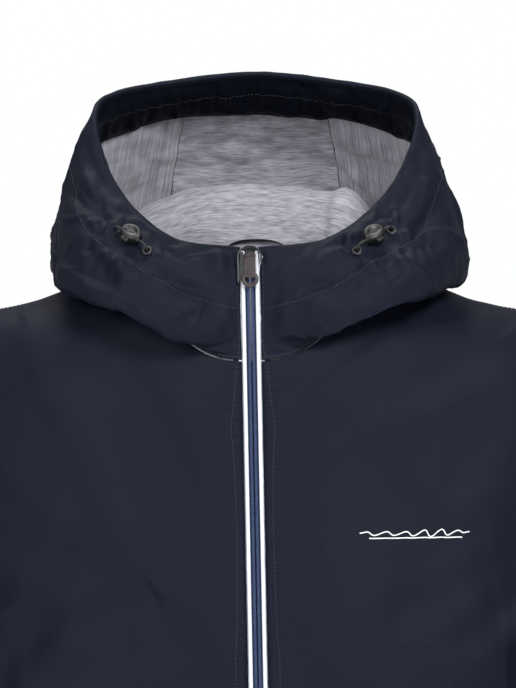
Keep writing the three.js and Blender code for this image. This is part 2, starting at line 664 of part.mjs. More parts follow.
/** Drawcord in the rim's tunnel, from one upper eyelet round the back to the other. */
function drawcord() {
  const first = EYELET_DEG.upper + 3.5;
  const points = [];
  const count = 40;
  for (let i = 0; i <= count; i++) {
    const turn = (180 - first) * ((2 * i) / count - 1);
    const [side, deg] = [turn < 0 ? 1 : -1, 180 - Math.abs(turn)];
    const row = tunnelRow(deg);
    const out = outwardAt(side, Math.min(deg, 180 - 1e-3), row);
    points.push(hood(side, deg, row).addScaledVector(out, -TUNNEL_DEPTH));
  }
  add("hood_drawcord", rod(new THREE.CatmullRomCurve3(points), CORD_RADIUS, 8, 48), BLACK);
}

/** Straight frame of the main zip: origin at its top, z up the zip, y inwards. */
function zipFrame() {
  const up = new THREE.Vector3(-ZIP_DRIFT, ZIP_LEAN, 1).normalize();
  const lateral = new THREE.Vector3(1, 0, 0).addScaledVector(up, -up.x).normalize();
  const inwards = up.clone().cross(lateral);
  const frame = new THREE.Group();
  const origin = new THREE.Vector3(ZIP_TOP_X, ZIP_TOP_Y, ZIP_TOP_Z);
  const matrix = new THREE.Matrix4().makeBasis(lateral, inwards, up).setPosition(origin);
  matrix.decompose(frame.position, frame.quaternion, frame.scale);
  return frame;
}

/** Slider with its pin, and the puller that hangs from it, in a zip frame. */
function slider(prefix, frame, top, pullerLength) {
  const bottom = top - SLIDER_LENGTH;
  const plate = (depth, narrow) => {
    const shape = new THREE.Shape();
    shape.moveTo(-SLIDER_HALF, top - 3);
    shape.quadraticCurveTo(-SLIDER_HALF, top, -SLIDER_HALF / 2, top);
    shape.lineTo(SLIDER_HALF / 2, top);
    shape.quadraticCurveTo(SLIDER_HALF, top, SLIDER_HALF, top - 3);
    shape.lineTo(SLIDER_HALF - narrow, bottom + 1);
    shape.lineTo(SLIDER_HALF - narrow - 1, bottom);
    shape.lineTo(-SLIDER_HALF + narrow + 1, bottom);
    shape.lineTo(-SLIDER_HALF + narrow, bottom + 1);
    shape.closePath();
    const solidPlate = new THREE.ExtrudeGeometry(shape, {
      depth: depth[1] - depth[0],
      bevelEnabled: false,
      curveSegments: 4,
    });
    return solid(solidPlate.rotateX(Math.PI / 2).scale(1, -1, 1).translate(0, depth[0], 0));
  };
  const postHalf = CHAIN_GAP_HALF - GAP;
  const postDepth = [PLATE_FRONT[1] - 0.1, PLATE_BACK[0] + 0.1];
  const post = box([-postHalf, postHalf], postDepth, [top - 3.4, top - 0.4]);
  const pinZ = top - 2.6;
  const lug = (x) => box([x, x + 0.9], [PIN_Y - 0.9, PLATE_FRONT[0] + 0.1], [pinZ - 1.2, pinZ + 1.2]);
  const pin = new THREE.CylinderGeometry(PIN_RADIUS, PIN_RADIUS, 5.8, 12).rotateZ(Math.PI / 2);
  const body = plate(PLATE_FRONT, 0.7)
    .add(plate(PLATE_BACK, 0.7))
    .add(solid(post))
    .add(solid(lug(-3)))
    .add(solid(lug(2.1)))
    .add(solid(pin.translate(0, PIN_Y, pinZ)));
  add(`${prefix}_slider`, shaped(body), GUNMETAL, frame);
  const end = pinZ - pullerLength + PULLER_RING;
  const outline = new THREE.Shape();
  outline.moveTo(-1.7, pinZ + 1.3);
  outline.lineTo(1.7, pinZ + 1.3);
  outline.lineTo(1.7, pinZ - 2);
  outline.lineTo(3.2, pinZ - 4.5);
  outline.lineTo(3, end + 5.8);
  outline.absarc(0, end, PULLER_RING, Math.PI * 0.34, Math.PI * 0.66, true);
  outline.lineTo(-3, end + 5.8);
  outline.lineTo(-3.2, pinZ - 4.5);
  outline.lineTo(-1.7, pinZ - 2);
  outline.closePath();
  const eye = new THREE.Path();
  eye.absarc(0, end - 0.4, PULLER_RING - 2.2, 0, 2 * Math.PI, false);
  outline.holes.push(eye);
  const tab = new THREE.ExtrudeGeometry(outline, { depth: 1.4, bevelEnabled: false, curveSegments: 9 });
  const blade = solid(tab.rotateX(Math.PI / 2).scale(1, -1, 1).translate(0, PIN_Y - 0.7, 0));
  const knuckle = new THREE.CylinderGeometry(1.45, 1.45, 3.4, 16).rotateZ(Math.PI / 2);
  const bore = new THREE.CylinderGeometry(PIN_RADIUS + GAP, PIN_RADIUS + GAP, 8, 16).rotateZ(Math.PI / 2);
  const puller = blade
    .add(solid(knuckle.translate(0, PIN_Y, pinZ)))
    .subtract(solid(bore.translate(0, PIN_Y, pinZ)));
  add(`${prefix}_puller`, shaped(puller), GUNMETAL, frame);
}

/** Main zip: tapes, coils, pipings, stops, retainer, slider, garage and wind flap. */
function mainZip() {
  const frame = zipFrame();
  const length = (BODY_LENGTH + ZIP_TOP_Z) * Math.hypot(1, ZIP_LEAN, ZIP_DRIFT);
  const bottom = -length + 4;
  const chainTop = -5.8;
  const boxTop = bottom + RETAINER_LENGTH;
  for (const { side, word } of SIDES) {
    const strip = (from, to, y, z) => box([side * from, side * to].sort((p, q) => p - q), y, z);
    const coilOuter = CHAIN_GAP_HALF + COIL_WIDTH;
    add(`zip_tape_${word}`, strip(coilOuter + GAP, TAPE_HALF, TAPE_DEPTH, [bottom, -1]), TAPE, frame);
    const coil = strip(CHAIN_GAP_HALF, coilOuter, COIL_DEPTH, [boxTop + GAP, chainTop]);
    add(`zip_coil_${word}`, coil, TAPE, frame);
    const line = new THREE.LineCurve3(
      new THREE.Vector3(side * PIPING_X, PIPING_RADIUS - 1, bottom),
      new THREE.Vector3(side * PIPING_X, PIPING_RADIUS - 1, -1),
    );
    add(`piping_${word}`, rod(line, PIPING_RADIUS - 0.05, 10, 1), PIPING, frame);
    const stop = strip(CHAIN_GAP_HALF, coilOuter, COIL_DEPTH, [chainTop + GAP, -3]);
    add(`zip_stop_${word}`, stop, STEEL, frame);
  }
  const pinSide = box([CHAIN_GAP_HALF, CHAIN_GAP_HALF + COIL_WIDTH], COIL_DEPTH, [bottom, boxTop]);
  add("zip_pin", pinSide, GUNMETAL, frame);
  const retainerWidth = [-CHAIN_GAP_HALF - COIL_WIDTH, CHAIN_GAP_HALF - GAP];
  const retainer = box(retainerWidth, RETAINER_DEPTH, [bottom, boxTop]);
  add("zip_retainer", retainer, GUNMETAL, frame);
  const flap = box([-FLAP_HALF, FLAP_HALF], LINING, [bottom, -ZIP_TOP_Z - FRONT_NECK_DROP]);
  add("wind_flap", flap, NYLON, frame);
  slider("zip", frame, -2, PULLER_LENGTH);
  const arch = new THREE.Shape();
  const { outer, inner, centre, depth, legs } = GARAGE;
  arch.moveTo(-outer, legs[0]);
  arch.lineTo(-outer, centre);
  arch.absarc(0, centre, outer, Math.PI, 0, true);
  arch.lineTo(outer, legs[1]);
  arch.lineTo(inner, legs[1]);
  arch.lineTo(inner, centre);
  arch.absarc(0, centre, inner, 0, Math.PI, false);
  arch.lineTo(-inner, legs[0]);
  arch.closePath();
  const garage = new THREE.ExtrudeGeometry(arch, { depth, bevelEnabled: false, curveSegments: 14 });
  garage.rotateX(Math.PI / 2).scale(1, -1, 1).translate(0, -depth - GAP, 0);
  add("zip_garage", welded(garage), FACING, frame);
  jacket.add(frame);
}

/** Pocket zips in their slots, and the bags behind them. */
function pockets() {
  for (const { side, word } of SIDES) {
    const { frame, length } = pocketFrame(side);
    const tape = new THREE.Shape();
    const [half, slit, top, bottom] = [POCKET_SLOT_HALF, CHAIN_GAP_HALF, 0, -length];
    tape.moveTo(-half, bottom);
    tape.lineTo(half, bottom);
    tape.lineTo(half, top);
    tape.lineTo(slit, top);
    tape.lineTo(slit, bottom + 3);
    tape.lineTo(-slit, bottom + 3);
    tape.lineTo(-slit, top);
    tape.lineTo(-half, top);
    tape.closePath();
    const [outside, inside] = POCKET_TAPE_DEPTH;
    const chain = new THREE.ExtrudeGeometry(tape, { depth: inside - outside, bevelEnabled: false });
    chain.rotateX(Math.PI / 2).scale(1, -1, 1).translate(0, outside, 0);
    add(`pocket_zip_${word}`, welded(chain), TAPE, frame);
    slider(`pocket_${word}`, frame, -1, PULLER_LENGTH - 4);
    jacket.add(frame);
    const bag = (a, b) => {
      const low = POCKET_BOTTOM.level - POCKET_BAG.below;
      const v = low + (POCKET_TOP.level + POCKET_BAG.above - low) * b;
      const first = POCKET_TOP.deg - POCKET_BAG.front;
      return torso(side, first + (POCKET_TOP.deg - POCKET_BAG.back - first) * a, v);
    };
    add(`pocket_bag_${word}`, cloth(bag, MIDDLE, [6, 5], side), FACING);
  }
}

/** Hanger loop: a ribbon arch inside the back neck, the jacket's hook point under its crown. */
function hangerLoop() {
  const ribbon = new THREE.Shape();
  const [span, rise, thick] = [26, HOOK.z, 1.2];
  ribbon.moveTo(-span, -1.5);
  ribbon.quadraticCurveTo(-span, rise, -4, rise);
  ribbon.lineTo(4, rise);
  ribbon.quadraticCurveTo(span, rise, span, -1.5);
  ribbon.lineTo(span + thick, -1.5);
  ribbon.quadraticCurveTo(span + thick, rise + thick, 5, rise + thick);
  ribbon.lineTo(-5, rise + thick);
  ribbon.quadraticCurveTo(-span - thick, rise + thick, -span - thick, -1.5);
  ribbon.closePath();
  const loop = new THREE.ExtrudeGeometry(ribbon, { depth: 6, bevelEnabled: false, curveSegments: 10 });
  loop.rotateX(Math.PI / 2).scale(1, -1, 1).translate(0, HOOK.y - 1.8, 0);
  add("hanger_loop", welded(loop), FACING);
}

/** Chest embroidery: a thin raised wave motif on the wearer's left chest. */
function embroidery() {
  const place = (a, b) => {
    const v = EMBROIDERY.level - EMBROIDERY.fall * a + EMBROIDERY.high * b;
    return torso(1, EMBROIDERY.deg + EMBROIDERY.wide * a, v);
  };
  add("chest_embroidery", cloth(place, EMBROIDERY.depth, [8, 1], 1), THREAD);
}

shellPanels();
bodyLining();
bands();
sleeves();
hoodPanels();
for (const { side, word } of SIDES) {
  for (const [place, deg] of Object.entries(EYELET_DEG)) {
    add(`eyelet_${place}_${word}`, welded(eyelet()).applyMatrix4(eyeletMatrix(side, deg)), BLACK);
  }
  cordLock(side, word);
  cordLoop(side, word);
}
drawcord();
mainZip();
pockets();
hangerLoop();
embroidery();

export default jacket;
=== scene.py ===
"""Looks of a hooded foul weather jacket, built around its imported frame.

The pattern surfaces below are the same ones that the frame's panels follow. They are worked out in
millimetres about the back neck seam, with -Y the wearer's front and +X the wearer's left, and turned
into the frame's metres when a mesh is made.
"""

import json
import logging
import math
from dataclasses import dataclass
from enum import Enum
from typing import Callable, Sequence

import bmesh
import bpy
import numpy as np
from mathutils import Matrix, Vector

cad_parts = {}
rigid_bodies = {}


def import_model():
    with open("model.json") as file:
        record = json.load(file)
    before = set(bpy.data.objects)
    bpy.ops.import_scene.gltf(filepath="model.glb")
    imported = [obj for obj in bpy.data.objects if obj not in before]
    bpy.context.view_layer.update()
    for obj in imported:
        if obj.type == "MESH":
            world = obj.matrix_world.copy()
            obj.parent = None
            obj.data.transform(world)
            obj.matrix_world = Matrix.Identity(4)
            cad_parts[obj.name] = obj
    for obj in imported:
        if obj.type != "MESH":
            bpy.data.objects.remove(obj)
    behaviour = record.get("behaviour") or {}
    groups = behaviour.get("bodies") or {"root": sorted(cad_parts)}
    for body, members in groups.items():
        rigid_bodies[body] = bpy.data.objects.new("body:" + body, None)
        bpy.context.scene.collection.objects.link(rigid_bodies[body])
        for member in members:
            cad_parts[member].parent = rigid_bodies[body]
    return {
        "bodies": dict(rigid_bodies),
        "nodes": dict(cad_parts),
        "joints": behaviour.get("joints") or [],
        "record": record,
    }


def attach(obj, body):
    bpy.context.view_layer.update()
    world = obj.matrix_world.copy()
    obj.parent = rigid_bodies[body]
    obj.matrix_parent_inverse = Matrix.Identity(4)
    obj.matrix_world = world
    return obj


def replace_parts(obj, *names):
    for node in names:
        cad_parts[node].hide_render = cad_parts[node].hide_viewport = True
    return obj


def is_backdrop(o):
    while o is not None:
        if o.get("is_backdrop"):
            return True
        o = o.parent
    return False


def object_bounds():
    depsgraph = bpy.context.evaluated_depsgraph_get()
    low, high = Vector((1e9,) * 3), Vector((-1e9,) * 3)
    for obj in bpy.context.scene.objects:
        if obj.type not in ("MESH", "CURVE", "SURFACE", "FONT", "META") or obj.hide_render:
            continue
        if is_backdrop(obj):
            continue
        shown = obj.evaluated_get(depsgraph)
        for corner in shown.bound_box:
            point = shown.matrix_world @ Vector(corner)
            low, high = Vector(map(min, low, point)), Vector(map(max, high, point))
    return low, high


LOG = logging.getLogger("jacket")
Array = np.ndarray
Place = Callable[[Array, Array], Array]
Relief = Callable[[Array, Array, Array], Array]

MM = 0.001
SHIFT = np.array([0.0, 4.0, -16.0])  # from the back neck seam to the hook point, in millimetres
SIDES = ((1, "left"), (-1, "right"))
BODY = "jacket"

# Driving dimensions of the pattern, in millimetres
BODY_LENGTH = 705.0
SHOULDER_HALF = 236.0
CHEST_HALF = 232.0
NECK_HALF = 92.0
UNDERARM_DROP = 300.0
SLEEVE_REACH = 700.0
CUFF_HALF = 38.0
HOOD_RISE = 149.0
HOOD_HALF = 164.0
FRONT_NECK_DROP = 77.0
CENTRE_PANEL_DEG = 156.0
FACING_WIDTH = 46.0
FLAP_HALF = 24.0

ZIP_TOP = np.array([-5.0, -158.0, 8.0])
ZIP_LEAN = 0.11
ZIP_DRIFT = 0.02
PANEL_EDGE = 7.5
PIPING_X = 5.4
SHOULDER_DROP = (SHOULDER_HALF - NECK_HALF) * 0.42
SQUARE = 0.85
SEAM_LEVEL = 0.002
LEVEL_OF_UNDERARM = 2 / 6
LEVEL_OF_SHOULDER = 4 / 6

# Depths of the cloth layers under the outer surface
MIDDLE_DEPTH = 3.2
LINING_DEPTH = 6.2
HOOD_LINING_DEPTH = 1.8
FACING_DEPTH = 7.0
RIM_DEPTH = 4.4

LEVELS = (
    # half width, middle y, side z, front z, back y, back z, from the hem to the neck seam
    (CHEST_HALF, -98, -BODY_LENGTH, -BODY_LENGTH, 22, -BODY_LENGTH),
    (CHEST_HALF - 6, -90, -490, -490, 20, -490),
    (CHEST_HALF, -76, -UNDERARM_DROP, -UNDERARM_DROP, 38, -UNDERARM_DROP),
    (SHOULDER_HALF + 4, -68, -172, -208, 42, -182),
    (SHOULDER_HALF, -62, -SHOULDER_DROP, -135, 36, -85),
    ((SHOULDER_HALF + NECK_HALF) / 2, -62, -SHOULDER_DROP / 2, -104, 24, -38),
    (NECK_HALF, -66, 0, -FRONT_NECK_DROP, 6, 0),
)

HOOD_SECTIONS = (
    # a row of points for every 30 degrees from the zip, each row from the neck seam to the rim
    ((49, -168, -56), (56, -179, -60), (62, -184, -52), (66, -183, -35),
     (68, -175, -15), (66, -161, 4), (62, -146, 18)),
    ((86, -131, -12), (101, -152, -29), (118, -165, -34), (131, -163, -20),
     (134, -149, 4), (122, -130, 32), (106, -112, 56)),
    ((106, -68, 10), (134, -80, -8), (158, -86, -15), (HOOD_HALF, -84, 2),
     (156, -78, 34), (143, -70, 76), (128, -62, 112)),
    ((86, -24, 16), (100, -12, 20), (124, 4, -4), (144, 16, -14),
     (146, 16, 26), (130, -2, 86), (112, -24, 132)),
    ((48, 0, 30), (54, 14, 46), (66, 36, 16), (80, 58, -30),
     (92, 80, 8), (80, 56, 88), (60, -4, HOOD_RISE - 6)),
    ((0, 8, 32), (0, 22, 53), (0, 44, 22), (0, 70, -34),
     (0, 98, 6), (0, 78, 84), (0, 4, HOOD_RISE)),
)
HOOD_ROWS = 7
HOOD_START = 0.011
ROLL_END = 0.34  # where the neck roll's jersey ends, behind its crest
FACING_FROM = (0.46, 0.71, 0.8, 0.84, 0.878, 0.922, 0.933)
TUNNEL_FROM_RIM = 28.0
EYELET_DEG = (37.0, 50.5)

SLEEVE_OUTER_X = (SHOULDER_HALF, 276, 306, 330, 352, 376)
SLEEVE_OUTER_Z = (-SHOULDER_DROP, -118, -230, -370, -530, -SLEEVE_REACH)
SLEEVE_INNER_X = (CHEST_HALF, 236, 246, 264, 284, 376 - 2 * CUFF_HALF)
SLEEVE_INNER_Z = (-UNDERARM_DROP, -318, -372, -470, -580, -SLEEVE_REACH + 10)
SLEEVE_MID = (-68, -70, -76, -88, -102, -118)
SLEEVE_DEPTH = (66, 68, 68, 62, 52, CUFF_HALF)
SLEEVE_BLEND = 0.16
SLEEVE_RUN = 850.0
ARMHOLE_BITE = 32.0
CUFF_LENGTH = 34.0


# ---------------------------------------------------------------------------------------------------
# Pattern surfaces


def through(values: Sequence, t: Array, mirrored: bool = False) -> Array:
    """Smooth curve through evenly spaced values.

    Args:
        values: Numbers, or arrays as long as t.
        t: Places along the curve, 0 to 1.
        mirrored: Whether the values are mirrored past the last one.

    Returns:
        The curve's value at each place.
    """
    t = np.asarray(t, float)
    rows = [np.broadcast_to(np.asarray(v, float), t.shape) for v in values]
    past = rows[-2] if mirrored else 2 * rows[-1] - rows[-2]
    stack = np.stack([2 * rows[0] - rows[1], *rows, past])
    last = len(rows) - 1
    i = np.clip(np.floor(t * last), 0, last - 1).astype(int)
    f = t * last - i
    a, b, c, d = (np.take_along_axis(stack, (i + k)[None], 0)[0] for k in range(4))
    bend = 2 * b + (c - a) * f + (2 * a - 5 * b + 4 * c - d) * f**2
    return 0.5 * (bend + (3 * b - a - 3 * c + d) * f**3)


def zip_y(z: Array) -> Array:
    """Height above the back of the zip's line at a height z."""
    return ZIP_TOP[1] - (ZIP_TOP[2] - z) * ZIP_LEAN


def zip_x(z: Array) -> Array:
    """Sideways place of the zip's line at a height z."""
    return ZIP_TOP[0] + (ZIP_TOP[2] - z) * ZIP_DRIFT


def torso(side: Array, deg: Array, v: Array) -> Array:
    """Points of the torso.

    Args:
        side: 1 for the wearer's left, -1 for the right.
        deg: Angle round the body, 0 at the zip and 180 at the centre back.
        v: Level, 0 at the hem and 1 at the neck seam.

    Returns:
        Points in millimetres, one row each.
    """
    deg, v = np.broadcast_arrays(np.asarray(deg, float), np.asarray(v, float))
    half, mid, side_z, front_z, back_y, back_z = (through([r[k] for r in LEVELS], v) for k in range(6))
    front = deg < 90
    turn = np.radians(deg)
    across = np.maximum(np.sin(turn), 0) ** SQUARE
    along = np.abs(np.cos(turn))
    end_z = np.where(front, front_z, back_z)
    end_y = np.where(front, zip_y(end_z), back_y)
    edge = np.where(front, PANEL_EDGE, 0)
    x = side * (edge + (half - edge) * across) + np.where(front, zip_x(end_z) * along**2, 0)
    return np.stack([x, mid + (end_y - mid) * along**SQUARE, side_z + (end_z - side_z) * along**2], -1)


def hood(side: Array, deg: Array, t: Array) -> Array:
    """Points of the hood.

    Args:
        side: 1 for the wearer's left, -1 for the right.
        deg: Angle round the hood, 0 at the zip and 180 at the centre back.
        t: Place from the neck seam, 0, to the rim, 1.

    Returns:
        Points in millimetres, one row each.
    """
    deg, t = np.broadcast_arrays(np.asarray(deg, float), np.asarray(t, float))
    share = deg / 180
    drift = np.where(deg < 90, np.cos(np.radians(deg)) ** 2, 0)
    seam = torso(1, deg, np.ones_like(deg))
    seam[..., 0] -= zip_x(-FRONT_NECK_DROP) * drift
    rows = []
    for k in range(3):
        column = [seam[..., k]]
        for row in range(1, HOOD_ROWS + 1):
            z = -FRONT_NECK_DROP + (ZIP_TOP[2] + FRONT_NECK_DROP) * row / HOOD_ROWS
            first = (PANEL_EDGE, zip_y(z), z)[k]
            values = [first, *[section[row - 1][k] for section in HOOD_SECTIONS]]
            column.append(through(values, share, mirrored=k > 0))
        rows.append(through(column, t))
    return np.stack([side * rows[0] + zip_x(rows[2]) * drift, rows[1], rows[2]], -1)


def armhole(side: Array, turn: Array) -> Array:
    """Points of the armhole seam, turn 0 at the shoulder and negative to the front."""
    return torso(side, 90 + ARMHOLE_BITE * np.sin(turn), 0.5 + np.cos(turn) / 6)


def sleeve(side: Array, turn: Array, w: Array) -> Array:
    """Points of a sleeve, turn 0 on the outer line and w from the armhole to the cuff seam."""
    turn, w = np.broadcast_arrays(np.asarray(turn, float), np.asarray(w, float))
    outer_x, outer_z = through(SLEEVE_OUTER_X, w), through(SLEEVE_OUTER_Z, w)
    inner_x, inner_z = through(SLEEVE_INNER_X, w), through(SLEEVE_INNER_Z, w)
    reach = np.cos(turn) / 2
    tube = np.stack([
        side * ((outer_x + inner_x) / 2 + (outer_x - inner_x) * reach),
        through(SLEEVE_MID, w) + through(SLEEVE_DEPTH, w) * np.sin(turn),
        (outer_z + inner_z) / 2 + (outer_z - inner_z) * reach,
    ], -1)
    share = np.clip(w / SLEEVE_BLEND, 0, 1)
    share = (share**2 * (3 - 2 * share))[..., None]
    return armhole(side, turn) * (1 - share) + tube * share


def torso_row(b: Array, start: float = 0.0) -> tuple[Array, Array]:
    """Level and armhole bite at even shares of a body panel's height."""
    row = np.asarray(b, float) * 13
    below = start + (LEVEL_OF_UNDERARM - start) * row / 4
    angle = np.pi * np.clip((row - 4) / 6, 0, 1)
    above = LEVEL_OF_SHOULDER + (1 - SEAM_LEVEL - LEVEL_OF_SHOULDER) * (row - 10) / 3
    v = np.where(row <= 4, below, np.where(row < 10, 0.5 - np.cos(angle) / 6, above))
    return v, ARMHOLE_BITE * np.sin(angle)


def facing_line(deg: Array) -> Array:
    """Where the facing starts, as a share of the way from neck seam to rim."""
    return through(FACING_FROM, np.asarray(deg, float) / 180)


def tunnel_line(deg: Array) -> Array:
    """Where the drawcord runs, as a share of the way from neck seam to rim."""
    return 1 - TUNNEL_FROM_RIM / FACING_WIDTH * (1 - facing_line(deg))


def normals(place: Place, a: Array, b: Array, step: float = 1e-3) -> Array:
    """Unit normals of a surface, from its slopes along a and b."""
    da = place(np.minimum(a + step, 1), b) - place(np.maximum(a - step, 0), b)
    db = place(a, np.minimum(b + step, 1)) - place(a, np.maximum(b - step, 0))
    n = np.cross(da, db)
    return n / np.maximum(np.linalg.norm(n, axis=-1, keepdims=True), 1e-9)


# ---------------------------------------------------------------------------------------------------
# Folds and wrinkles


def waves(points: Array, length: float, seed: int, stretch: Sequence[float] = (1, 1, 1)) -> Array:
    """Smooth random relief of about unit height.

    Args:
        points: Points in millimetres.
        length: Usual distance between crests, in millimetres.
        seed: Seed of the random directions.
        stretch: How much longer the crests are along each axis.

    Returns:
        One height a point.
    """
    rng = np.random.default_rng(seed)
    count = 20
    direction = rng.normal(size=(count, 3))
    direction /= np.linalg.norm(direction, axis=1, keepdims=True)
    k = 2 * np.pi / length * direction * rng.uniform(0.6, 1.5, (count, 1)) / np.asarray(stretch, float)
    phase = rng.uniform(0, 2 * np.pi, count)
    return np.cos(points @ k.T + phase).sum(-1) * math.sqrt(2 / count)


def creases(points: Array, length: float, seed: int, stretch: Sequence[float] = (1, 1, 1)) -> Array:
    """Narrow random creases from 0 to 1, where a smooth relief crosses zero."""
    return np.exp(-((waves(points, length, seed, stretch) / 0.28) ** 2))


def smooth(x: Array, low: float, high: float) -> Array:
    """Smooth step from 0 at low to 1 at high."""
    t = np.clip((x - low) / (high - low), 0, 1)
    return t * t * (3 - 2 * t)


@dataclass(frozen=True)
class Fold:
    """A fold of the cloth along a line, seen from the front.

    Attributes:
        line: Points (x, z) in millimetres.
        height: Height of its crest; a negative one is a valley.
        width: Half width on its steep side.
        soft: How many times wider its gentle side is.
    """

    line: tuple[tuple[float, float], ...]
    height: float
    width: float
    soft: float = 2.0

    def relief(self, points: Array) -> Array:
        """Height of the fold at each point."""
        best = np.full(points.shape[:-1], np.inf)
        turn = np.zeros_like(best)
        x, z = points[..., 0], points[..., 2]
        for (x0, z0), (x1, z1) in zip(self.line, self.line[1:]):
            dx, dz = x1 - x0, z1 - z0
            s = np.clip(((x - x0) * dx + (z - z0) * dz) / (dx * dx + dz * dz), 0, 1)
            gap = np.hypot(x - x0 - s * dx, z - z0 - s * dz)
            near = gap < best
            best = np.where(near, gap, best)
            turn = np.where(near, np.sign((x - x0) * dz - (z - z0) * dx), turn)
        width = np.where(turn > 0, self.width, self.width * self.soft)
        return self.height * np.exp(-((best / width) ** 2))


def folded(folds: Sequence[Fold], points: Array) -> Array:
    """Sum of some folds at each point."""
    return sum((fold.relief(points) for fold in folds), np.zeros(points.shape[:-1]))


CHEST_FOLDS = (
    Fold(((-174, -62), (-140, -130), (-89, -231)), 3.2, 16, 2.6),
    Fold(((-205, -150), (-150, -195), (-92, -240)), 2.6, 15, 2.4),
    Fold(((-82, -72), (-55, -120), (-28, -190)), 2.4, 10, 2.4),
    Fold(((-120, -96), (-96, -180), (-60, -290)), -2.0, 18, 1.6),
    Fold(((-60, -250), (-110, -360), (-150, -500)), 2.4, 20, 1.8),
    Fold(((138, -52), (100, -62), (64, -92), (30, -116)), 2.6, 9, 2.6),
    Fold(((176, -70), (120, -110), (60, -150)), 1.8, 16, 2.2),
    Fold(((205, -130), (170, -200), (150, -300)), 2.0, 18, 2.2),
    Fold(((60, -240), (110, -340), (150, -470)), 2.0, 22, 1.8),
    Fold(((30, -330), (60, -450), (90, -640)), 1.8, 24, 1.8),
    Fold(((-30, -340), (-50, -470), (-80, -640)), -1.6, 24, 1.6),
)

HOOD_FOLDS = (
    Fold(((-153, 58), (-134, 47), (-116, 33)), -4.0, 6, 2.0),
    Fold(((-150, 2), (-132, -9), (-112, -14)), -4.5, 7, 2.0),
    Fold(((-140, 84), (-128, 66), (-122, 46)), 3.0, 7, 1.6),
    Fold(((-118, 14), (-96, -16), (-64, -38), (-30, -50)), 3.2, 9, 2.0),
    Fold(((-92, 12), (-70, -12), (-40, -26), (-16, -28)), -2.6, 7, 2.0),
    Fold(((-86, -40), (-56, -56), (-24, -66)), 2.6, 8, 1.6),
    Fold(((-24, 0), (-26, -20), (-20, -44)), 1.6, 4, 1.6),
    Fold(((-66, 16), (-52, 0), (-34, -8)), 1.8, 6, 1.8),
    Fold(((150, 60), (136, 44), (124, 24)), -3.6, 7, 2.0),
    Fold(((152, 14), (138, -2), (116, -12)), 3.4, 8, 1.8),
    Fold(((140, -10), (112, -30), (76, -50), (40, -58)), -1.4, 8, 2.0),
    Fold(((118, 12), (98, -10), (66, -32), (26, -44)), 3.2, 9, 2.0),
    Fold(((84, 6), (62, -10), (36, -20), (16, -22)), -2.2, 6, 2.0),
    Fold(((20, 2), (22, -20), (18, -46)), 1.4, 5, 1.6),
    Fold(((60, 18), (46, 4), (30, -2)), 1.6, 6, 1.8),
)

ROLL_FOLDS = (
    Fold(((72, 54), (64, 34), (66, 6)), 4.5, 5, 2.4),
    Fold(((-66, 48), (-44, 40), (-12, 47)), 1.8, 6, 2.0),
    Fold(((-52, 40), (-40, 22), (-38, 4)), 1.4, 8, 2.0),
)


# ---------------------------------------------------------------------------------------------------
# Shader maths


class Sock:
    """A node socket, or a number, on which Python's operators add Math nodes."""

    def __init__(self, shader: "Shader", value: "bpy.types.NodeSocket | float") -> None:
        """Wraps a socket or a number of a shader."""
        self.shader, self.value = shader, value

    def _math(self, operation: str, *others: "Sock | float", flip: bool = False) -> "Sock":
        """A Math node of this and the other values.

        Args:
            operation: The node's operation.
            others: The other inputs.
            flip: Whether this value goes last.

        Returns:
            The node's output.
        """
        items = [self, *others]
        return self.shader.node("ShaderNodeMath", {"operation": operation}, items[::-1] if flip else items)

    def __add__(self, other: "Sock | float") -> "Sock":
        """Sum."""
        return self._math("ADD", other)

    __radd__ = __add__

    def __sub__(self, other: "Sock | float") -> "Sock":
        """Difference."""
        return self._math("SUBTRACT", other)

    def __rsub__(self, other: "Sock | float") -> "Sock":
        """Difference from a number."""
        return self._math("SUBTRACT", other, flip=True)

    def __mul__(self, other: "Sock | float") -> "Sock":
        """Product."""
        return self._math("MULTIPLY", other)

    __rmul__ = __mul__

    def __truediv__(self, other: "Sock | float") -> "Sock":
        """Quotient."""
        return self._math("DIVIDE", other)

    def __rtruediv__(self, other: "Sock | float") -> "Sock":
        """Quotient of a number."""
        return self._math("DIVIDE", other, flip=True)

    def __pow__(self, other: "Sock | float") -> "Sock":
        """Power."""
        return self._math("POWER", other)

    def sine(self) -> "Sock":
        """Sine, in radians."""
        return self._math("SINE")

    def absolute(self) -> "Sock":
        """Size without its sign."""
        return self._math("ABSOLUTE")

    def over(self, level: float) -> "Sock":
        """1 where the value is over a level, and 0 elsewhere."""
        return self._math("GREATER_THAN", level)

    def clamped(self) -> "Sock":
        """The value held between 0 and 1."""
        return self.shader.node("ShaderNodeClamp", {}, [self, 0.0, 1.0])


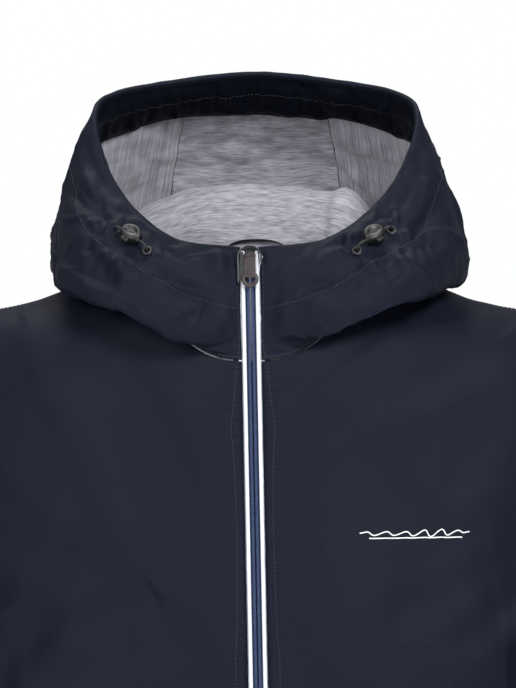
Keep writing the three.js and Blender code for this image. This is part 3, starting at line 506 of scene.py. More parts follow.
class Shader:
    """A material being made of nodes, with its shader and output in place."""

    def __init__(self, name: str) -> None:
        """Makes an empty material of that name."""
        self.material = bpy.data.materials.new(name)
        self.material.use_nodes = True
        self.tree = self.material.node_tree
        self.tree.nodes.clear()
        self.surface = self.tree.nodes.new("ShaderNodeBsdfPrincipled")
        output = self.tree.nodes.new("ShaderNodeOutputMaterial")
        self.tree.links.new(self.surface.outputs[0], output.inputs["Surface"])

    def node(self, kind: str, settings: dict, values: "Sequence | dict" = (), out: "int | str" = 0) -> Sock:
        """Adds a node.

        Args:
            kind: The node's type.
            settings: Its settings; "stops" are a ramp's places and colours.
            values: Values or sockets of its inputs, in order or by name.
            out: Which output is wanted.

        Returns:
            That output.
        """
        node = self.tree.nodes.new(kind)
        for key, value in settings.items():
            if key == "stops":
                ramp = node.color_ramp.elements
                for i, (place, colour) in enumerate(value):
                    stop = ramp[i] if i < len(ramp) else ramp.new(place)
                    stop.position, stop.color = place, (*colour, 1)
            else:
                setattr(node, key, value)
        pairs = values.items() if isinstance(values, dict) else enumerate(values)
        for key, value in pairs:
            self.plug(value, node.inputs[key])
        return Sock(self, node.outputs[out])

    def plug(self, value: "Sock | float | Sequence", socket: bpy.types.NodeSocket) -> None:
        """Links or sets one input."""
        value = value.value if isinstance(value, Sock) else value
        if isinstance(value, bpy.types.NodeSocket):
            self.tree.links.new(value, socket)
        else:
            socket.default_value = value

    def place(self, by_map: bool) -> Sock:
        """Coordinates in metres, from the cloth's own map or from the object."""
        if by_map:
            return self.node("ShaderNodeUVMap", {"uv_map": "cloth"})
        return self.node("ShaderNodeTexCoord", {}, out="Object")

    def axes(self, place: Sock) -> list[Sock]:
        """The three parts of a vector."""
        first = self.node("ShaderNodeSeparateXYZ", {}, [place])
        return [Sock(self, output) for output in first.value.node.outputs]

    def scaled(self, place: Sock, scale: Sequence[float]) -> Sock:
        """A vector scaled along each axis."""
        return self.node("ShaderNodeMapping", {"vector_type": "POINT"}, {"Vector": place, "Scale": scale})

    def noise(self, place: Sock, scale: float, detail: float = 2.0) -> Sock:
        """Noise from 0 to 1, at a scale a metre."""
        return self.node("ShaderNodeTexNoise", {}, {"Vector": place, "Scale": scale, "Detail": detail})

    def mixed(self, share: Sock, low: Sequence[float], high: "Sequence[float] | Sock") -> Sock:
        """A colour between two, by a share."""
        node = self.tree.nodes.new("ShaderNodeMix")
        node.data_type = "RGBA"
        self.plug(share, node.inputs[0])
        self.plug((*low, 1) if not isinstance(low, Sock) else low, node.inputs[6])
        self.plug((*high, 1) if not isinstance(high, Sock) else high, node.inputs[7])
        return Sock(self, node.outputs[2])

    def bump(self, height: Sock, distance: float, strength: float = 1.0) -> None:
        """Gives the surface a bump of a height in metres."""
        values = {"Height": height, "Strength": strength, "Distance": distance}
        self.plug(self.node("ShaderNodeBump", {}, values), self.surface.inputs["Normal"])

    def finish(self, **values: "Sock | float | Sequence") -> bpy.types.Material:
        """Sets the surface's inputs, with _ for a space in a name, and returns the material."""
        for key, value in values.items():
            self.plug(value, self.surface.inputs[key.replace("_", " ")])
        return self.material


@dataclass(frozen=True)
class Nylon:
    """Plain-woven nylon, with a soft sheen and fine puckers.

    Attributes:
        name: The finish's name.
        colour: Its colour.
        roughness: Its roughness.
        thread: Distance between its threads, in metres.
        pucker: Height of its small puckers, in metres.
        gloss: Its specular level.
    """

    name: str = "shell_nylon"
    colour: tuple[float, float, float] = (0.0052, 0.0072, 0.0145)
    roughness: float = 0.55
    thread: float = 0.00045
    pucker: float = 0.0006
    gloss: float = 0.08

    def make(self) -> bpy.types.Material:
        """Returns the material."""
        s = Shader(self.name)
        place = s.place(by_map=True)
        u, v, _ = s.axes(place)
        turns = 2 * math.pi / self.thread
        weave = (u * turns).sine() * (v * turns).sine()
        cloud = s.noise(place, 9, 3)
        grain = s.noise(place, 1400, 1)
        pucker = s.noise(place, 75, 3)
        dark = tuple(c * 0.86 for c in self.colour)
        light = tuple(min(c * 1.16, 1) for c in self.colour)
        share = (cloud * 0.6 + grain * 0.5 + weave * 0.06 - 0.05).clamped()
        s.bump(pucker + weave * 0.05 + grain * 0.04, self.pucker, 0.5)
        return s.finish(
            Base_Color=s.mixed(share, dark, light),
            Roughness=(self.roughness - 0.06 + cloud * 0.08 + grain * 0.06).clamped(),
            Specular_IOR_Level=self.gloss,
        )


@dataclass(frozen=True)
class Jersey:
    """Marl jersey knit: light and dark fibres in short streaks along the rows of stitches.

    Attributes:
        name: The finish's name.
        along: Whether the streaks run along the cloth's map's first axis.
        light: Colour of the light fibres.
        dark: Colour of the dark fibres.
        wale: Distance between columns of stitches, in metres.
    """

    name: str = "marl_jersey"
    along: bool = True
    light: tuple[float, float, float] = (0.44, 0.43, 0.485)
    dark: tuple[float, float, float] = (0.17, 0.166, 0.2)
    wale: float = 0.0009

    def make(self) -> bpy.types.Material:
        """Returns the material."""
        s = Shader(self.name)
        place = s.place(by_map=True)
        u, v, _ = s.axes(place)
        long_way, short_way = 90.0, 950.0
        scale = (long_way, short_way, 1) if self.along else (short_way, long_way, 1)
        streak = s.noise(s.scaled(place, scale), 1, 2)
        wide = s.noise(s.scaled(place, tuple(k * 0.3 for k in scale)), 1, 2)
        fleck = s.noise(place, 1700, 1)
        turns = 2 * math.pi / self.wale
        knit = (u * turns).sine().absolute() * 0.6 + (v * turns * 1.3).sine().absolute() * 0.4
        share = (streak * 2.0 + wide * 1.1 + fleck * 0.7 - 1.45).clamped()
        s.bump(knit * 0.7 + fleck * 0.5 + streak * 0.4, 0.00035, 0.6)
        return s.finish(
            Base_Color=s.mixed(share, self.dark, self.light),
            Roughness=(fleck * 0.12 + 0.84).clamped(),
            Sheen_Weight=0.25,
            Sheen_Roughness=0.5,
        )


@dataclass(frozen=True)
class Ribbed:
    """Woven tape, binding or braid with ribs across or along it, with painted shade in the grooves between the ribs.

    Attributes:
        name: The finish's name.
        colour: Its colour.
        rib: Distance between ribs, in metres.
        ribs_axis: Which axis the ribs follow one another along.
        by_map: Whether it reads the cloth's own map and not the object's place.
        roughness: Its roughness.
        groove_shade: How much darker the grooves are painted, as painted shade in the grooves.
    """

    name: str
    colour: tuple[float, float, float]
    rib: float = 0.0008
    ribs_axis: int = 2
    by_map: bool = False
    roughness: float = 0.7
    groove_shade: float = 0.35

    def make(self) -> bpy.types.Material:
        """Returns the material."""
        s = Shader(self.name)
        place = s.place(self.by_map)
        along = s.axes(place)[self.ribs_axis]
        rib = (along * (math.pi / self.rib)).sine().absolute()
        grain = s.noise(place, 1100, 2)
        # Painted shade: the grooves between ribs get a darker colour than the crests, on top of the bump.
        dark = tuple(c * (1 - self.groove_shade) for c in self.colour)
        s.bump(rib + grain * 0.4, 0.00016, 0.6)
        return s.finish(
            Base_Color=s.mixed((rib * 0.6 + grain * 0.5).clamped(), dark, self.colour),
            Roughness=(grain * 0.2 + self.roughness - 0.1).clamped(),
        )


@dataclass(frozen=True)
class Hard:
    """Metal or moulded plastic with a fine cast grain, and wear where it is rubbed.

    Attributes:
        name: The finish's name.
        colour: Its colour.
        worn: Colour of the rubbed spots.
        roughness: Its roughness.
        metallic: 1 for metal and 0 for plastic.
        wear: Share of rubbed surface.
    """

    name: str
    colour: tuple[float, float, float]
    worn: tuple[float, float, float]
    roughness: float
    metallic: float = 0.0
    wear: float = 0.2

    def make(self) -> bpy.types.Material:
        """Returns the material."""
        s = Shader(self.name)
        place = s.place(by_map=False)
        grain = s.noise(place, 2600, 2)
        spots = s.noise(place, 320, 4)
        share = ((spots - 0.62 + self.wear * 0.3) * 5).clamped()
        s.bump(grain, 0.00005, 0.4)
        return s.finish(
            Base_Color=s.mixed(share, self.colour, self.worn),
            Roughness=(grain * 0.16 + self.roughness - 0.08 - share * 0.06).clamped(),
            Metallic=self.metallic,
        )


class Look(Enum):
    """The jacket's finishes, each with the record's material slot that it belongs to."""

    SHELL = (Nylon(), "shell")
    FACING = (Nylon("facing_nylon", (0.0022, 0.003, 0.0062), 0.5, 0.0004, 0.0007, 0.05), "facing")
    POCKET_CLOTH = (Nylon("pocket_nylon", (0.006, 0.008, 0.014), 0.7), "facing")
    JERSEY_ROWS = (Jersey("marl_jersey_rows", True), "jersey")
    JERSEY_COLUMNS = (Jersey("marl_jersey_columns", False), "jersey")
    TAPE = (Ribbed("zip_tape_blue", (0.025, 0.042, 0.105), 0.0009, 0, True, 0.75, 0.6), "zip_tape")
    COIL = (Ribbed("coil_blue", (0.036, 0.062, 0.145), 0.0007, 2, False, 0.65, 0.25), "zip_tape")
    PIPING = (Ribbed("piping_white", (0.66, 0.69, 0.76), 0.0007, 2, False, 0.75, 0.14), "piping")
    CORD = (Ribbed("cord_black", (0.006, 0.006, 0.008), 0.0006, 2, False, 0.65, 0.5), "cord")
    RIBBON = (Ribbed("ribbon_black", (0.008, 0.010, 0.016), 0.0006, 0, False, 0.7, 0.4), "facing")
    BINDING = (Ribbed("binding_black", (0.006, 0.007, 0.010), 0.0007, 2, False, 0.6, 0.4), "facing")
    GUNMETAL = (Hard("gunmetal", (0.011, 0.008, 0.0072), (0.045, 0.03, 0.023), 0.4, 1.0, 0.4), "gunmetal")
    STEEL = (Hard("spring_steel", (0.42, 0.42, 0.43), (0.6, 0.6, 0.6), 0.3, 1.0), "steel")
    MOULDING = (Hard("moulding_black", (0.0035, 0.0035, 0.0045), (0.014, 0.014, 0.017), 0.42, 0.0), "moulding")
    THREAD = (Ribbed("thread_white", (0.86, 0.87, 0.9), 0.0003, 0, False, 0.55, 0.1), "thread")
    SEAM_THREAD = (Ribbed("thread_navy", (0.030, 0.036, 0.055), 0.0003, 2, False, 0.6, 0.3), "shell")
    DARK_THREAD = (Ribbed("thread_black", (0.016, 0.018, 0.026), 0.0003, 2, False, 0.6, 0.3), "facing")
    GREY_THREAD = (Ribbed("thread_grey", (0.22, 0.22, 0.26), 0.0003, 2, False, 0.7, 0.3), "jersey")

    def material(self) -> bpy.types.Material:
        """Returns the finish's material, made once."""
        return bpy.data.materials.get(self.value[0].name) or self.value[0].make()


# ---------------------------------------------------------------------------------------------------
# Making pieces


def shown(name: str, bm: bmesh.types.BMesh, look: Look, body: str = BODY, smooth_faces: bool = True) -> bpy.types.Object:
    """Makes a piece of a bmesh, in its finish and on its body.

    Args:
        name: The piece's name.
        bm: Its mesh, in the frame's metres; it is freed.
        look: Its finish.
        body: The body that it moves with.
        smooth_faces: Whether its faces are smoothly shaded.

    Returns:
        The piece.
    """
    mesh = bpy.data.meshes.new(name)
    bm.to_mesh(mesh)
    bm.free()
    mesh.polygons.foreach_set("use_smooth", [smooth_faces] * len(mesh.polygons))
    piece = bpy.data.objects.new(name, mesh)
    bpy.context.scene.collection.objects.link(piece)
    mesh.materials.append(look.material())
    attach(piece, body)
    LOG.info("%s: %d faces on %s", name, len(mesh.polygons), body)
    return piece


def in_frame(points: Array) -> Array:
    """Pattern millimetres to the frame's metres."""
    return (points + SHIFT) * MM


@dataclass
class Cloth:
    """A panel of cloth: a fine grid bent onto a pattern surface, with folds, and given its thickness.

    Attributes:
        name: The piece's name.
        place: The pattern surface, for a and b from 0 to 1.
        grid: Columns and rows.
        outward: 1 or -1 for the side of the surface that is outside.
        look: Its finish.
        depth: How far it lies inside the pattern surface, in millimetres, or a function of a and b.
        thickness: Its thickness, in millimetres.
        relief: Height of its folds, in millimetres, for a, b and the surface points.
    """

    name: str
    place: Place
    grid: tuple[int, int]
    outward: int
    look: Look = Look.SHELL
    depth: "float | Callable[[Array, Array], Array]" = 0.0
    thickness: float = 0.8
    relief: "Relief | None" = None

    def surface(self, a: Array, b: Array) -> Array:
        """The cloth's outer points, in millimetres, with their folds."""
        points = self.place(a, b)
        depth = self.depth(a, b) if callable(self.depth) else self.depth
        rise = (self.relief(a, b, points) if self.relief else 0) - depth
        return points + normals(self.place, a, b) * self.outward * np.asarray(rise)[..., None]

    def build(self, cut: "Callable[[bmesh.types.BMesh], None] | None" = None) -> bpy.types.Object:
        """Makes the piece.

        Args:
            cut: Cuts holes in the open grid before it gets its thickness.

        Returns:
            The piece.
        """
        bm = bmesh.new()
        columns, rows = self.grid
        bmesh.ops.create_grid(bm, x_segments=columns, y_segments=rows, size=0.5, calc_uvs=True)
        flat = np.array([v.co for v in bm.verts]) + 0.5
        a, b = np.clip(flat[:, 0], 0, 1), np.clip(flat[:, 1], 0, 1)
        points = in_frame(self.surface(a, b))
        width, length = self.size()
        uv = bm.loops.layers.uv.verify()
        for face in bm.faces:
            for loop in face.loops:
                i = loop.vert.index
                loop[uv].uv = (a[i] * width, b[i] * length)
        for vert, point in zip(bm.verts, points):
            vert.co = point
        if self.outward < 0:
            bmesh.ops.reverse_faces(bm, faces=bm.faces[:])
        if cut:
            cut(bm)
        area = sum(face.calc_area() for face in bm.faces)
        piece = shown(self.name, bm, self.look)
        piece.data.uv_layers[0].name = "cloth"
        wall = piece.modifiers.new("thickness", "SOLIDIFY")
        wall.thickness = self.thickness * MM
        wall.offset = -1
        scale = math.sqrt(max(area / (width * length), 1))
        flat = (max(width * scale, 0.0105), max(length * scale, 0.0105))
        area * 0.999
        return piece

    def size(self) -> tuple[float, float]:
        """Width across the middle and length up the middle, in metres."""
        line = np.linspace(0, 1, 60)
        middle = np.full(60, 0.5)
        sizes = []
        for points in (self.place(line, middle), self.place(middle, line)):
            sizes.append(float(np.linalg.norm(np.diff(points, axis=0), axis=1).sum()) * MM)
        return sizes[0], sizes[1]

    def row(self, a: Array, b: Array, lift: float = 0.15) -> tuple[Array, Array]:
        """Points just above the cloth and their outward normals, in metres, for a line of stitches."""
        out = normals(self.place, a, b) * self.outward
        return in_frame(self.surface(a, b) + out * lift), out


def evenly(points: Array, out: Array, pitch: float) -> tuple[Array, Array, Array]:
    """Middles, directions and normals of stitches at a pitch along a line.

    Args:
        points: Points of the line, in metres.
        out: Outward normal at each point.
        pitch: Distance between stitches, in metres.

    Returns:
        Middles, directions and normals, one row a stitch.
    """
    run = np.concatenate([[0], np.cumsum(np.linalg.norm(np.diff(points, axis=0), axis=1))])
    at = np.arange(pitch / 2, run[-1], pitch)
    middles = np.stack([np.interp(at, run, points[:, k]) for k in range(3)], -1)
    ahead = np.stack([np.interp(at + pitch / 4, run, points[:, k]) for k in range(3)], -1)
    behind = np.stack([np.interp(at - pitch / 4, run, points[:, k]) for k in range(3)], -1)
    up = np.stack([np.interp(at, run, out[:, k]) for k in range(3)], -1)
    return middles, ahead - behind, up


def repeated(bm: bmesh.types.BMesh, matrices: Array) -> None:
    """Repeats the mesh's shape, one copy for each matrix.

    Args:
        bm: A mesh that holds the shape once.
        matrices: For each copy, its 4 by 4 matrix.
    """
    packed = bpy.data.meshes.new("shape")
    bm.to_mesh(packed)
    bm.clear()
    bm.from_mesh(packed)
    bpy.data.meshes.remove(packed)
    shape = np.array([(*v.co, 1) for v in bm.verts])
    copies = 1
    while copies < len(matrices):
        part = bm.verts[:][: (len(matrices) - copies) * len(shape)]
        faces = bm.faces[:][: (len(matrices) - copies) * (len(bm.faces) // copies)]
        geom = bm.verts[:] + bm.edges[:] + bm.faces[:] if len(part) == len(bm.verts) else part + faces
        bmesh.ops.duplicate(bm, geom=geom)
        copies = len(bm.verts) // len(shape)
    if not np.allclose([v.co for v in bm.verts], np.tile(shape[:, :3], (copies, 1)), atol=1e-5):
        raise ValueError("the copies' corners are out of order")
    places = (np.asarray(matrices) @ shape.T).transpose(0, 2, 1)[..., :3].reshape(-1, 3)
    for vert, place in zip(bm.verts, places):
        vert.co = place


def stitches(
    name: str,
    lines: Sequence[tuple[Array, Array]],
    look: Look,
    pitch: float = 0.0032,
    length: float = 0.0024,
    radius: float = 0.00028,
    across: bool = False,
) -> bpy.types.Object:
    """Rows of thread stitches.

    Args:
        name: The piece's name.
        lines: For each row, its points and normals, in metres.
        look: The thread's finish.
        pitch: Distance between stitches.
        length: Length of a stitch.
        radius: Radius of the thread.
        across: Whether each stitch lies across its row, as in satin stitch.

    Returns:
        The piece.
    """
    matrices = []
    for points, out in lines:
        middles, along, up = evenly(points, out, pitch)
        x = along / np.linalg.norm(along, axis=1, keepdims=True)
        y = np.cross(up, x)
        y /= np.linalg.norm(y, axis=1, keepdims=True)
        x, y = (y, -x) if across else (x, y)
        turns = np.zeros((len(middles), 4, 4))
        turns[:, :3, 0] = x * length / 2
        turns[:, :3, 1] = y * radius
        turns[:, :3, 2] = np.cross(x, y) * radius
        turns[:, :3, 3] = middles
        turns[:, 3, 3] = 1
        matrices.append(turns)
    bm = bmesh.new()
    bmesh.ops.create_uvsphere(bm, u_segments=6, v_segments=4, radius=1)
    repeated(bm, np.concatenate(matrices))
    return shown(name, bm, look)


def slab(bm: bmesh.types.BMesh, outline: Sequence[tuple[float, float]], y: tuple[float, float], bevel: float) -> None:
    """Adds a flat piece with rounded edges.

    Args:
        bm: The mesh to add it to, in millimetres.
        outline: Corners (x, z) of its outline.
        y: Its front and back.
        bevel: Size of the rounding.
    """
    face = bm.faces.new([bm.verts.new((px, y[0], pz)) for px, pz in outline])
    made = bmesh.ops.extrude_face_region(bm, geom=[face])["geom"]
    far = [g for g in made if isinstance(g, bmesh.types.BMVert)]
    bmesh.ops.translate(bm, verts=far, vec=(0, y[1] - y[0], 0))
    faces = {f for v in far for f in v.link_faces} | {face}
    edges = list({e for f in faces for e in f.edges})
    bmesh.ops.recalc_face_normals(bm, faces=list(faces))
    if bevel:
        bmesh.ops.bevel(bm, geom=edges, offset=bevel, segments=2, profile=0.5, affect="EDGES", material=-1)


def arc(centre: tuple[float, float], radius: float, start: float, end: float, count: int) -> list[tuple[float, float]]:
    """Points (x, z) of an arc, with its angles in degrees."""
    angles = np.radians(np.linspace(start, end, count))
    return [(centre[0] + radius * math.cos(t), centre[1] + radius * math.sin(t)) for t in angles]


def basis(x: Vector, y: Vector, z: Vector, origin: Vector) -> Matrix:
    """Matrix of a local frame in pattern millimetres, onto the frame's metres."""
    turn = Matrix((x, y, z)).transposed().to_4x4()
    move = Matrix.Translation((Vector(origin) + Vector(SHIFT)) * MM)
    return move @ turn @ Matrix.Scale(MM, 4)


# ---------------------------------------------------------------------------------------------------
# Body


@dataclass
class LocalFrame:
    """A straight frame on the jacket: x sideways, y inwards, z up, in pattern millimetres.

    Attributes:
        origin: Its origin.
        lateral: Direction of x.
        inwards: Direction of y.
        up: Direction of z.
    """

    origin: Array
    lateral: Array
    inwards: Array
    up: Array

    def matrix(self) -> Matrix:
        """Matrix onto the frame's metres."""
        return basis(Vector(self.lateral), Vector(self.inwards), Vector(self.up), Vector(self.origin))

    def at(self, x: Array, y: Array, z: Array) -> Array:
        """Pattern points of local coordinates."""
        x, y, z = np.broadcast_arrays(np.asarray(x, float), np.asarray(y, float), np.asarray(z, float))
        return self.origin + x[..., None] * self.lateral + y[..., None] * self.inwards + z[..., None] * self.up

    def local(self, points: Array) -> Array:
        """Local millimetres of points in the frame's metres."""
        away = points / MM - SHIFT - self.origin
        return np.stack([away @ self.lateral, away @ self.inwards, away @ self.up], -1)


def unit(v: Array) -> Array:
    """A vector at unit length."""
    return v / np.linalg.norm(v)


def one(surface: Callable, *values: float) -> Array:
    """One point of a surface."""
    return surface(values[0], np.array([values[1]]), np.array([values[2]]))[0]


def zip_frame() -> LocalFrame:
    """The main zip's frame, its origin at the zip's top."""
    up = unit(np.array([-ZIP_DRIFT, ZIP_LEAN, 1.0]))
    lateral = unit(np.array([1.0, 0, 0]) - up * up[0])
    return LocalFrame(ZIP_TOP, lateral, np.cross(up, lateral), up)


@dataclass
class PocketSlot:
    """A pocket's slot in a front panel.

    Attributes:
        side: 1 for the wearer's left, -1 for the right.
        top: Angle and level of its top.
        bottom: Angle and level of its bottom.
        half: Half its width, in millimetres.
    """

    side: int
    top: tuple[float, float] = (50.0, 0.235)
    bottom: tuple[float, float] = (56.0, 0.1)
    half: float = 7.3

    def __post_init__(self) -> None:
        """Works out the slot's frame and length."""
        top, bottom = (one(torso, self.side, *end) for end in (self.top, self.bottom))
        deg, v = ((p + q) / 2 for p, q in zip(self.top, self.bottom))
        up = unit(top - bottom)
        around = one(torso, self.side, deg + 1, v) - one(torso, self.side, deg - 1, v)
        inwards = -self.side * unit(np.cross(around, up))
        self.length = float(np.linalg.norm(top - bottom))
        origin = one(torso, self.side, deg, v) + up * self.length / 2
        self.frame = LocalFrame(origin, unit(np.cross(inwards, up)), inwards, up)

    def inside(self, bm: bmesh.types.BMesh, margin: float) -> list[bmesh.types.BMFace]:
        """Faces whose middles lie in the slot, widened by a margin in millimetres."""
        middles = self.frame.local(np.array([f.calc_center_median() for f in bm.faces]))
        x, y, z = (middles[:, k] for k in range(3))
        high = (z > -self.length - 0.3 - margin) & (z < 0.3 + margin)
        chosen = (np.abs(x) < self.half + margin) & (np.abs(y) < 14) & high
        return [f for f, inside in zip(bm.faces, chosen) if inside]

    def cut(self, bm: bmesh.types.BMesh) -> None:
        """Cuts the slot out of an open grid."""
        matrix = self.frame.matrix()
        turn = matrix.to_3x3()
        planes = (
            ((self.half, 0, 0), (1, 0, 0)),
            ((-self.half, 0, 0), (1, 0, 0)),
            ((0, 0, 0.3), (0, 0, 1)),
            ((0, 0, -self.length - 0.3), (0, 0, 1)),
        )
        for point, direction in planes:
            near = self.inside(bm, 4)
            edges = {e for f in near for e in f.edges}
            verts = {v for f in near for v in f.verts}
            bmesh.ops.bisect_plane(
                bm,
                geom=[*near, *edges, *verts],
                plane_co=matrix @ Vector(point),
                plane_no=(turn @ Vector(direction)).normalized(),
            )
        bmesh.ops.delete(bm, geom=self.inside(bm, 0), context="FACES")

    def clear(self, points: Array) -> Array:
        """0 on the slot and 1 well away from it."""
        away = points - self.frame.origin
        x, z = away @ self.frame.lateral, away @ self.frame.up
        beyond = np.maximum(np.maximum(z, -self.length - z), 0)
        return smooth(np.hypot(np.maximum(np.abs(x) - 8, 0), beyond), 2, 30)


def body_relief(points: Array) -> Array:
    """Height of the body's folds: hung from the shoulders, with soft diagonals over the chest."""
    x, y, z = points[..., 0], points[..., 1], points[..., 2]
    front = smooth(-y, 60, 110)
    broad = 2.0 * waves(points, 230, 3, (1, 1, 1.8)) + 1.0 * waves(points, 95, 5, (1, 1, 1.6))
    small = 0.22 * waves(points, 34, 7, (1, 1, 1.3))
    drawn = 0.9 * creases(points, 150, 11, (1, 1, 1.8)) * smooth(-z, 120, 320)
    underarm = np.hypot(np.abs(x) - 225, z + 300)
    gathered = 2.6 * waves(points, 48, 13, (1.6, 1, 0.8)) * np.exp(-((underarm / 95) ** 2))
    at_zip = np.abs(x - zip_x(z)) - PANEL_EDGE
    calm = np.where(y < -100, smooth(at_zip, 0, 46), 1) * smooth(-z, 10, 60)
    hem = 0.35 * waves(points, 17, 17, (0.6, 0.6, 3)) * np.exp(-(((z + 690) / 26) ** 2))
    pucker = 0.2 * waves(points, 8, 19, (4, 1, 0.7)) * np.exp(-((at_zip / 11) ** 2)) * (y < -100)
    slots = np.minimum(PocketSlot(1).clear(points), PocketSlot(-1).clear(points))
    return (front * folded(CHEST_FOLDS, points) + broad + drawn + gathered) * calm * slots + small + hem + pucker


def groove(gap: Array, width: float = 1.4) -> Array:
    """Depth of the groove beside a seam, for distances from the edge in millimetres."""
    return -0.8 * np.exp(-((gap / width) ** 2))


@dataclass
class BodyShell:
    """The body's outer cloth: two fronts and a back.

    Attributes:
        front_grid: Columns and rows of a front.
        back_grid: Columns and rows of the back.
        thickness: The cloth's thickness, in millimetres.
        seam_deg: Half a side seam's gap, in degrees of the torso.
    """

    front_grid: tuple[int, int] = (120, 210)
    back_grid: tuple[int, int] = (190, 180)
    thickness: float = 0.9
    seam_deg: float = 0.1

    def front(self, side: int, word: str) -> Cloth:
        """Returns one front's cloth."""

        def place(a: Array, b: Array) -> Array:
            v, bite = torso_row(b)
            return torso(side, (90 - bite - self.seam_deg) * a, v)

        def relief(a: Array, b: Array, points: Array) -> Array:
            return body_relief(points) + groove(a * 300, 1.2) + groove((1 - a) * 300)

        return Cloth(f"shell_front_{word}", place, self.front_grid, side, Look.SHELL, 0, self.thickness, relief)

    def back(self) -> Cloth:
        """Returns the back's cloth."""

        def place(a: Array, b: Array) -> Array:
            v, bite = torso_row(b)
            turn = (90 - bite - self.seam_deg) * (2 * a - 1)
            return torso(np.where(turn < 0, 1, -1), 180 - np.abs(turn), v)

        def relief(a: Array, b: Array, points: Array) -> Array:
            return body_relief(points) + groove(a * 500) + groove((1 - a) * 500)

        return Cloth("shell_back", place, self.back_grid, 1, Look.SHELL, 0, self.thickness, relief)

    def build(self) -> None:
        """Makes the panels and their seams' stitches."""
        line = np.linspace(0, 1, 400)
        for side, word in SIDES:
            cloth = self.front(side, word)
            slot = PocketSlot(side)
            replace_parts(cloth.build(slot.cut), f"front_panel_{word}")
            shoulder = 10 / 13 + 3 / 13 * line
            rows = [cloth.row(np.full(400, 1 - gap / 150), shoulder) for gap in (2.2, 5.0)]
            rows.append(cloth.row(np.full(400, 3.4 / 225), line * 0.985))
            rows.append(cloth.row(line, np.full(400, 24 / 700)))
            stitches(f"stitching_front_{word}", rows, Look.SEAM_THREAD)
            self.side_seam(cloth, word, line)
        back = self.back()
        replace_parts(back.build(), "back_panel")
        stitches("stitching_back", [back.row(line, np.full(400, 24 / 700))], Look.SEAM_THREAD)

    @staticmethod
    def side_seam(cloth: Cloth, word: str, line: Array) -> None:
        """Topstitches a side seam from the hem to the underarm."""
        below = line * 4 / 13
        stitches(f"stitching_side_{word}", [cloth.row(np.full(400, 1 - 2.4 / 280), below)], Look.SEAM_THREAD)


@dataclass
class BodyInside:
    """What lines the body: jersey, hem facing, neck tape, wind flap and hanger loop.

    Attributes:
        lining_start: Level at which the lining starts over the hem.
        lining_bite: How much wider the lining's armhole is, in degrees.
        loop_span: Half the hanger loop's span, in millimetres.
        loop_rise: Its height over the neck seam.
        ribbon: Its ribbon's width.
    """

    lining_start: float = 0.012
    lining_bite: float = 2.2
    loop_span: float = 26.0
    loop_rise: float = 16.0
    ribbon: float = 6.0

    def last(self, bite: Array) -> Array:
        """Angle at which the lining's side edges end."""
        return 90 - bite - 0.4 - np.where(bite > 0, self.lining_bite, 0.12)

    def build(self) -> None:
        """Makes the linings and trims."""
        first = 9.0

        def soft(a: Array, b: Array, points: Array) -> Array:
            slack = 0.7 * waves(points, 70, 23, (1, 1, 1.5))
            return np.minimum(body_relief(points), 0) - np.abs(slack) - 0.4

        for side, word in SIDES:

            def front(a: Array, b: Array, side: int = side) -> Array:
                v, bite = torso_row(b, self.lining_start)
                return torso(side, first - 3 + (self.last(bite) - first + 3) * a, v)

            lining = Cloth(f"lining_front_{word}", front, (50, 90), side, Look.JERSEY_COLUMNS, LINING_DEPTH, 1, soft)
            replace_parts(lining.build(), f"body_lining_{word}")

        def back(a: Array, b: Array) -> Array:
            v, bite = torso_row(b, self.lining_start)
            turn = self.last(bite) * (2 * a - 1)
            return torso(np.where(turn < 0, 1, -1), 180 - np.abs(turn), v)

        lining = Cloth("lining_back", back, (90, 90), 1, Look.JERSEY_ROWS, LINING_DEPTH, 1, soft)
        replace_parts(lining.build(), "body_lining_back")
        for name, node, low, high, look in (
            ("hem_turning", "hem_facing", 0.002, 0.06, Look.SHELL),
            ("neck_binding", "neck_tape", 0.957, 0.9985, Look.FACING),
        ):

            def ring(a: Array, b: Array, low: float = low, high: float = high) -> Array:
                turn = (360 * a - 180) * (1 - 7 / 180)
                return torso(np.where(turn < 0, 1, -1), 180 - np.abs(turn), low + (high - low) * b)

            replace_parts(Cloth(name, ring, (200, 8), 1, look, MIDDLE_DEPTH, 0.9).build(), node)
        self.flap()
        self.loop()

    def flap(self) -> None:
        """Makes the wind flap behind the zip."""
        frame = zip_frame()
        bottom = -(BODY_LENGTH + ZIP_TOP[2]) * math.hypot(1, ZIP_LEAN, ZIP_DRIFT) + 4

        def place(a: Array, b: Array) -> Array:
            return frame.at(FLAP_HALF * (2 * a - 1), 0, bottom + (-FRONT_NECK_DROP - ZIP_TOP[2] - bottom) * b)

        def relief(a: Array, b: Array, points: Array) -> Array:
            return 0.5 * waves(points, 50, 29)

        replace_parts(Cloth("wind_guard", place, (16, 160), 1, Look.SHELL, LINING_DEPTH, 1, relief).build(), "wind_flap")

    def loop(self) -> None:
        """Makes the hanger loop of folded ribbon."""

        def place(a: Array, b: Array) -> Array:
            turn = np.pi * a
            x = -self.loop_span * np.sign(np.cos(turn)) * np.abs(np.cos(turn)) ** 0.8
            z = -1.5 + (self.loop_rise + 2) * np.sin(turn) ** 0.62
            return np.stack([x, -5.8 + self.ribbon * b, z], -1)

        piece = Cloth("hanging_ribbon", place, (60, 6), 1, Look.RIBBON, 0, 0.9).build()
        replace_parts(piece, "hanger_loop")


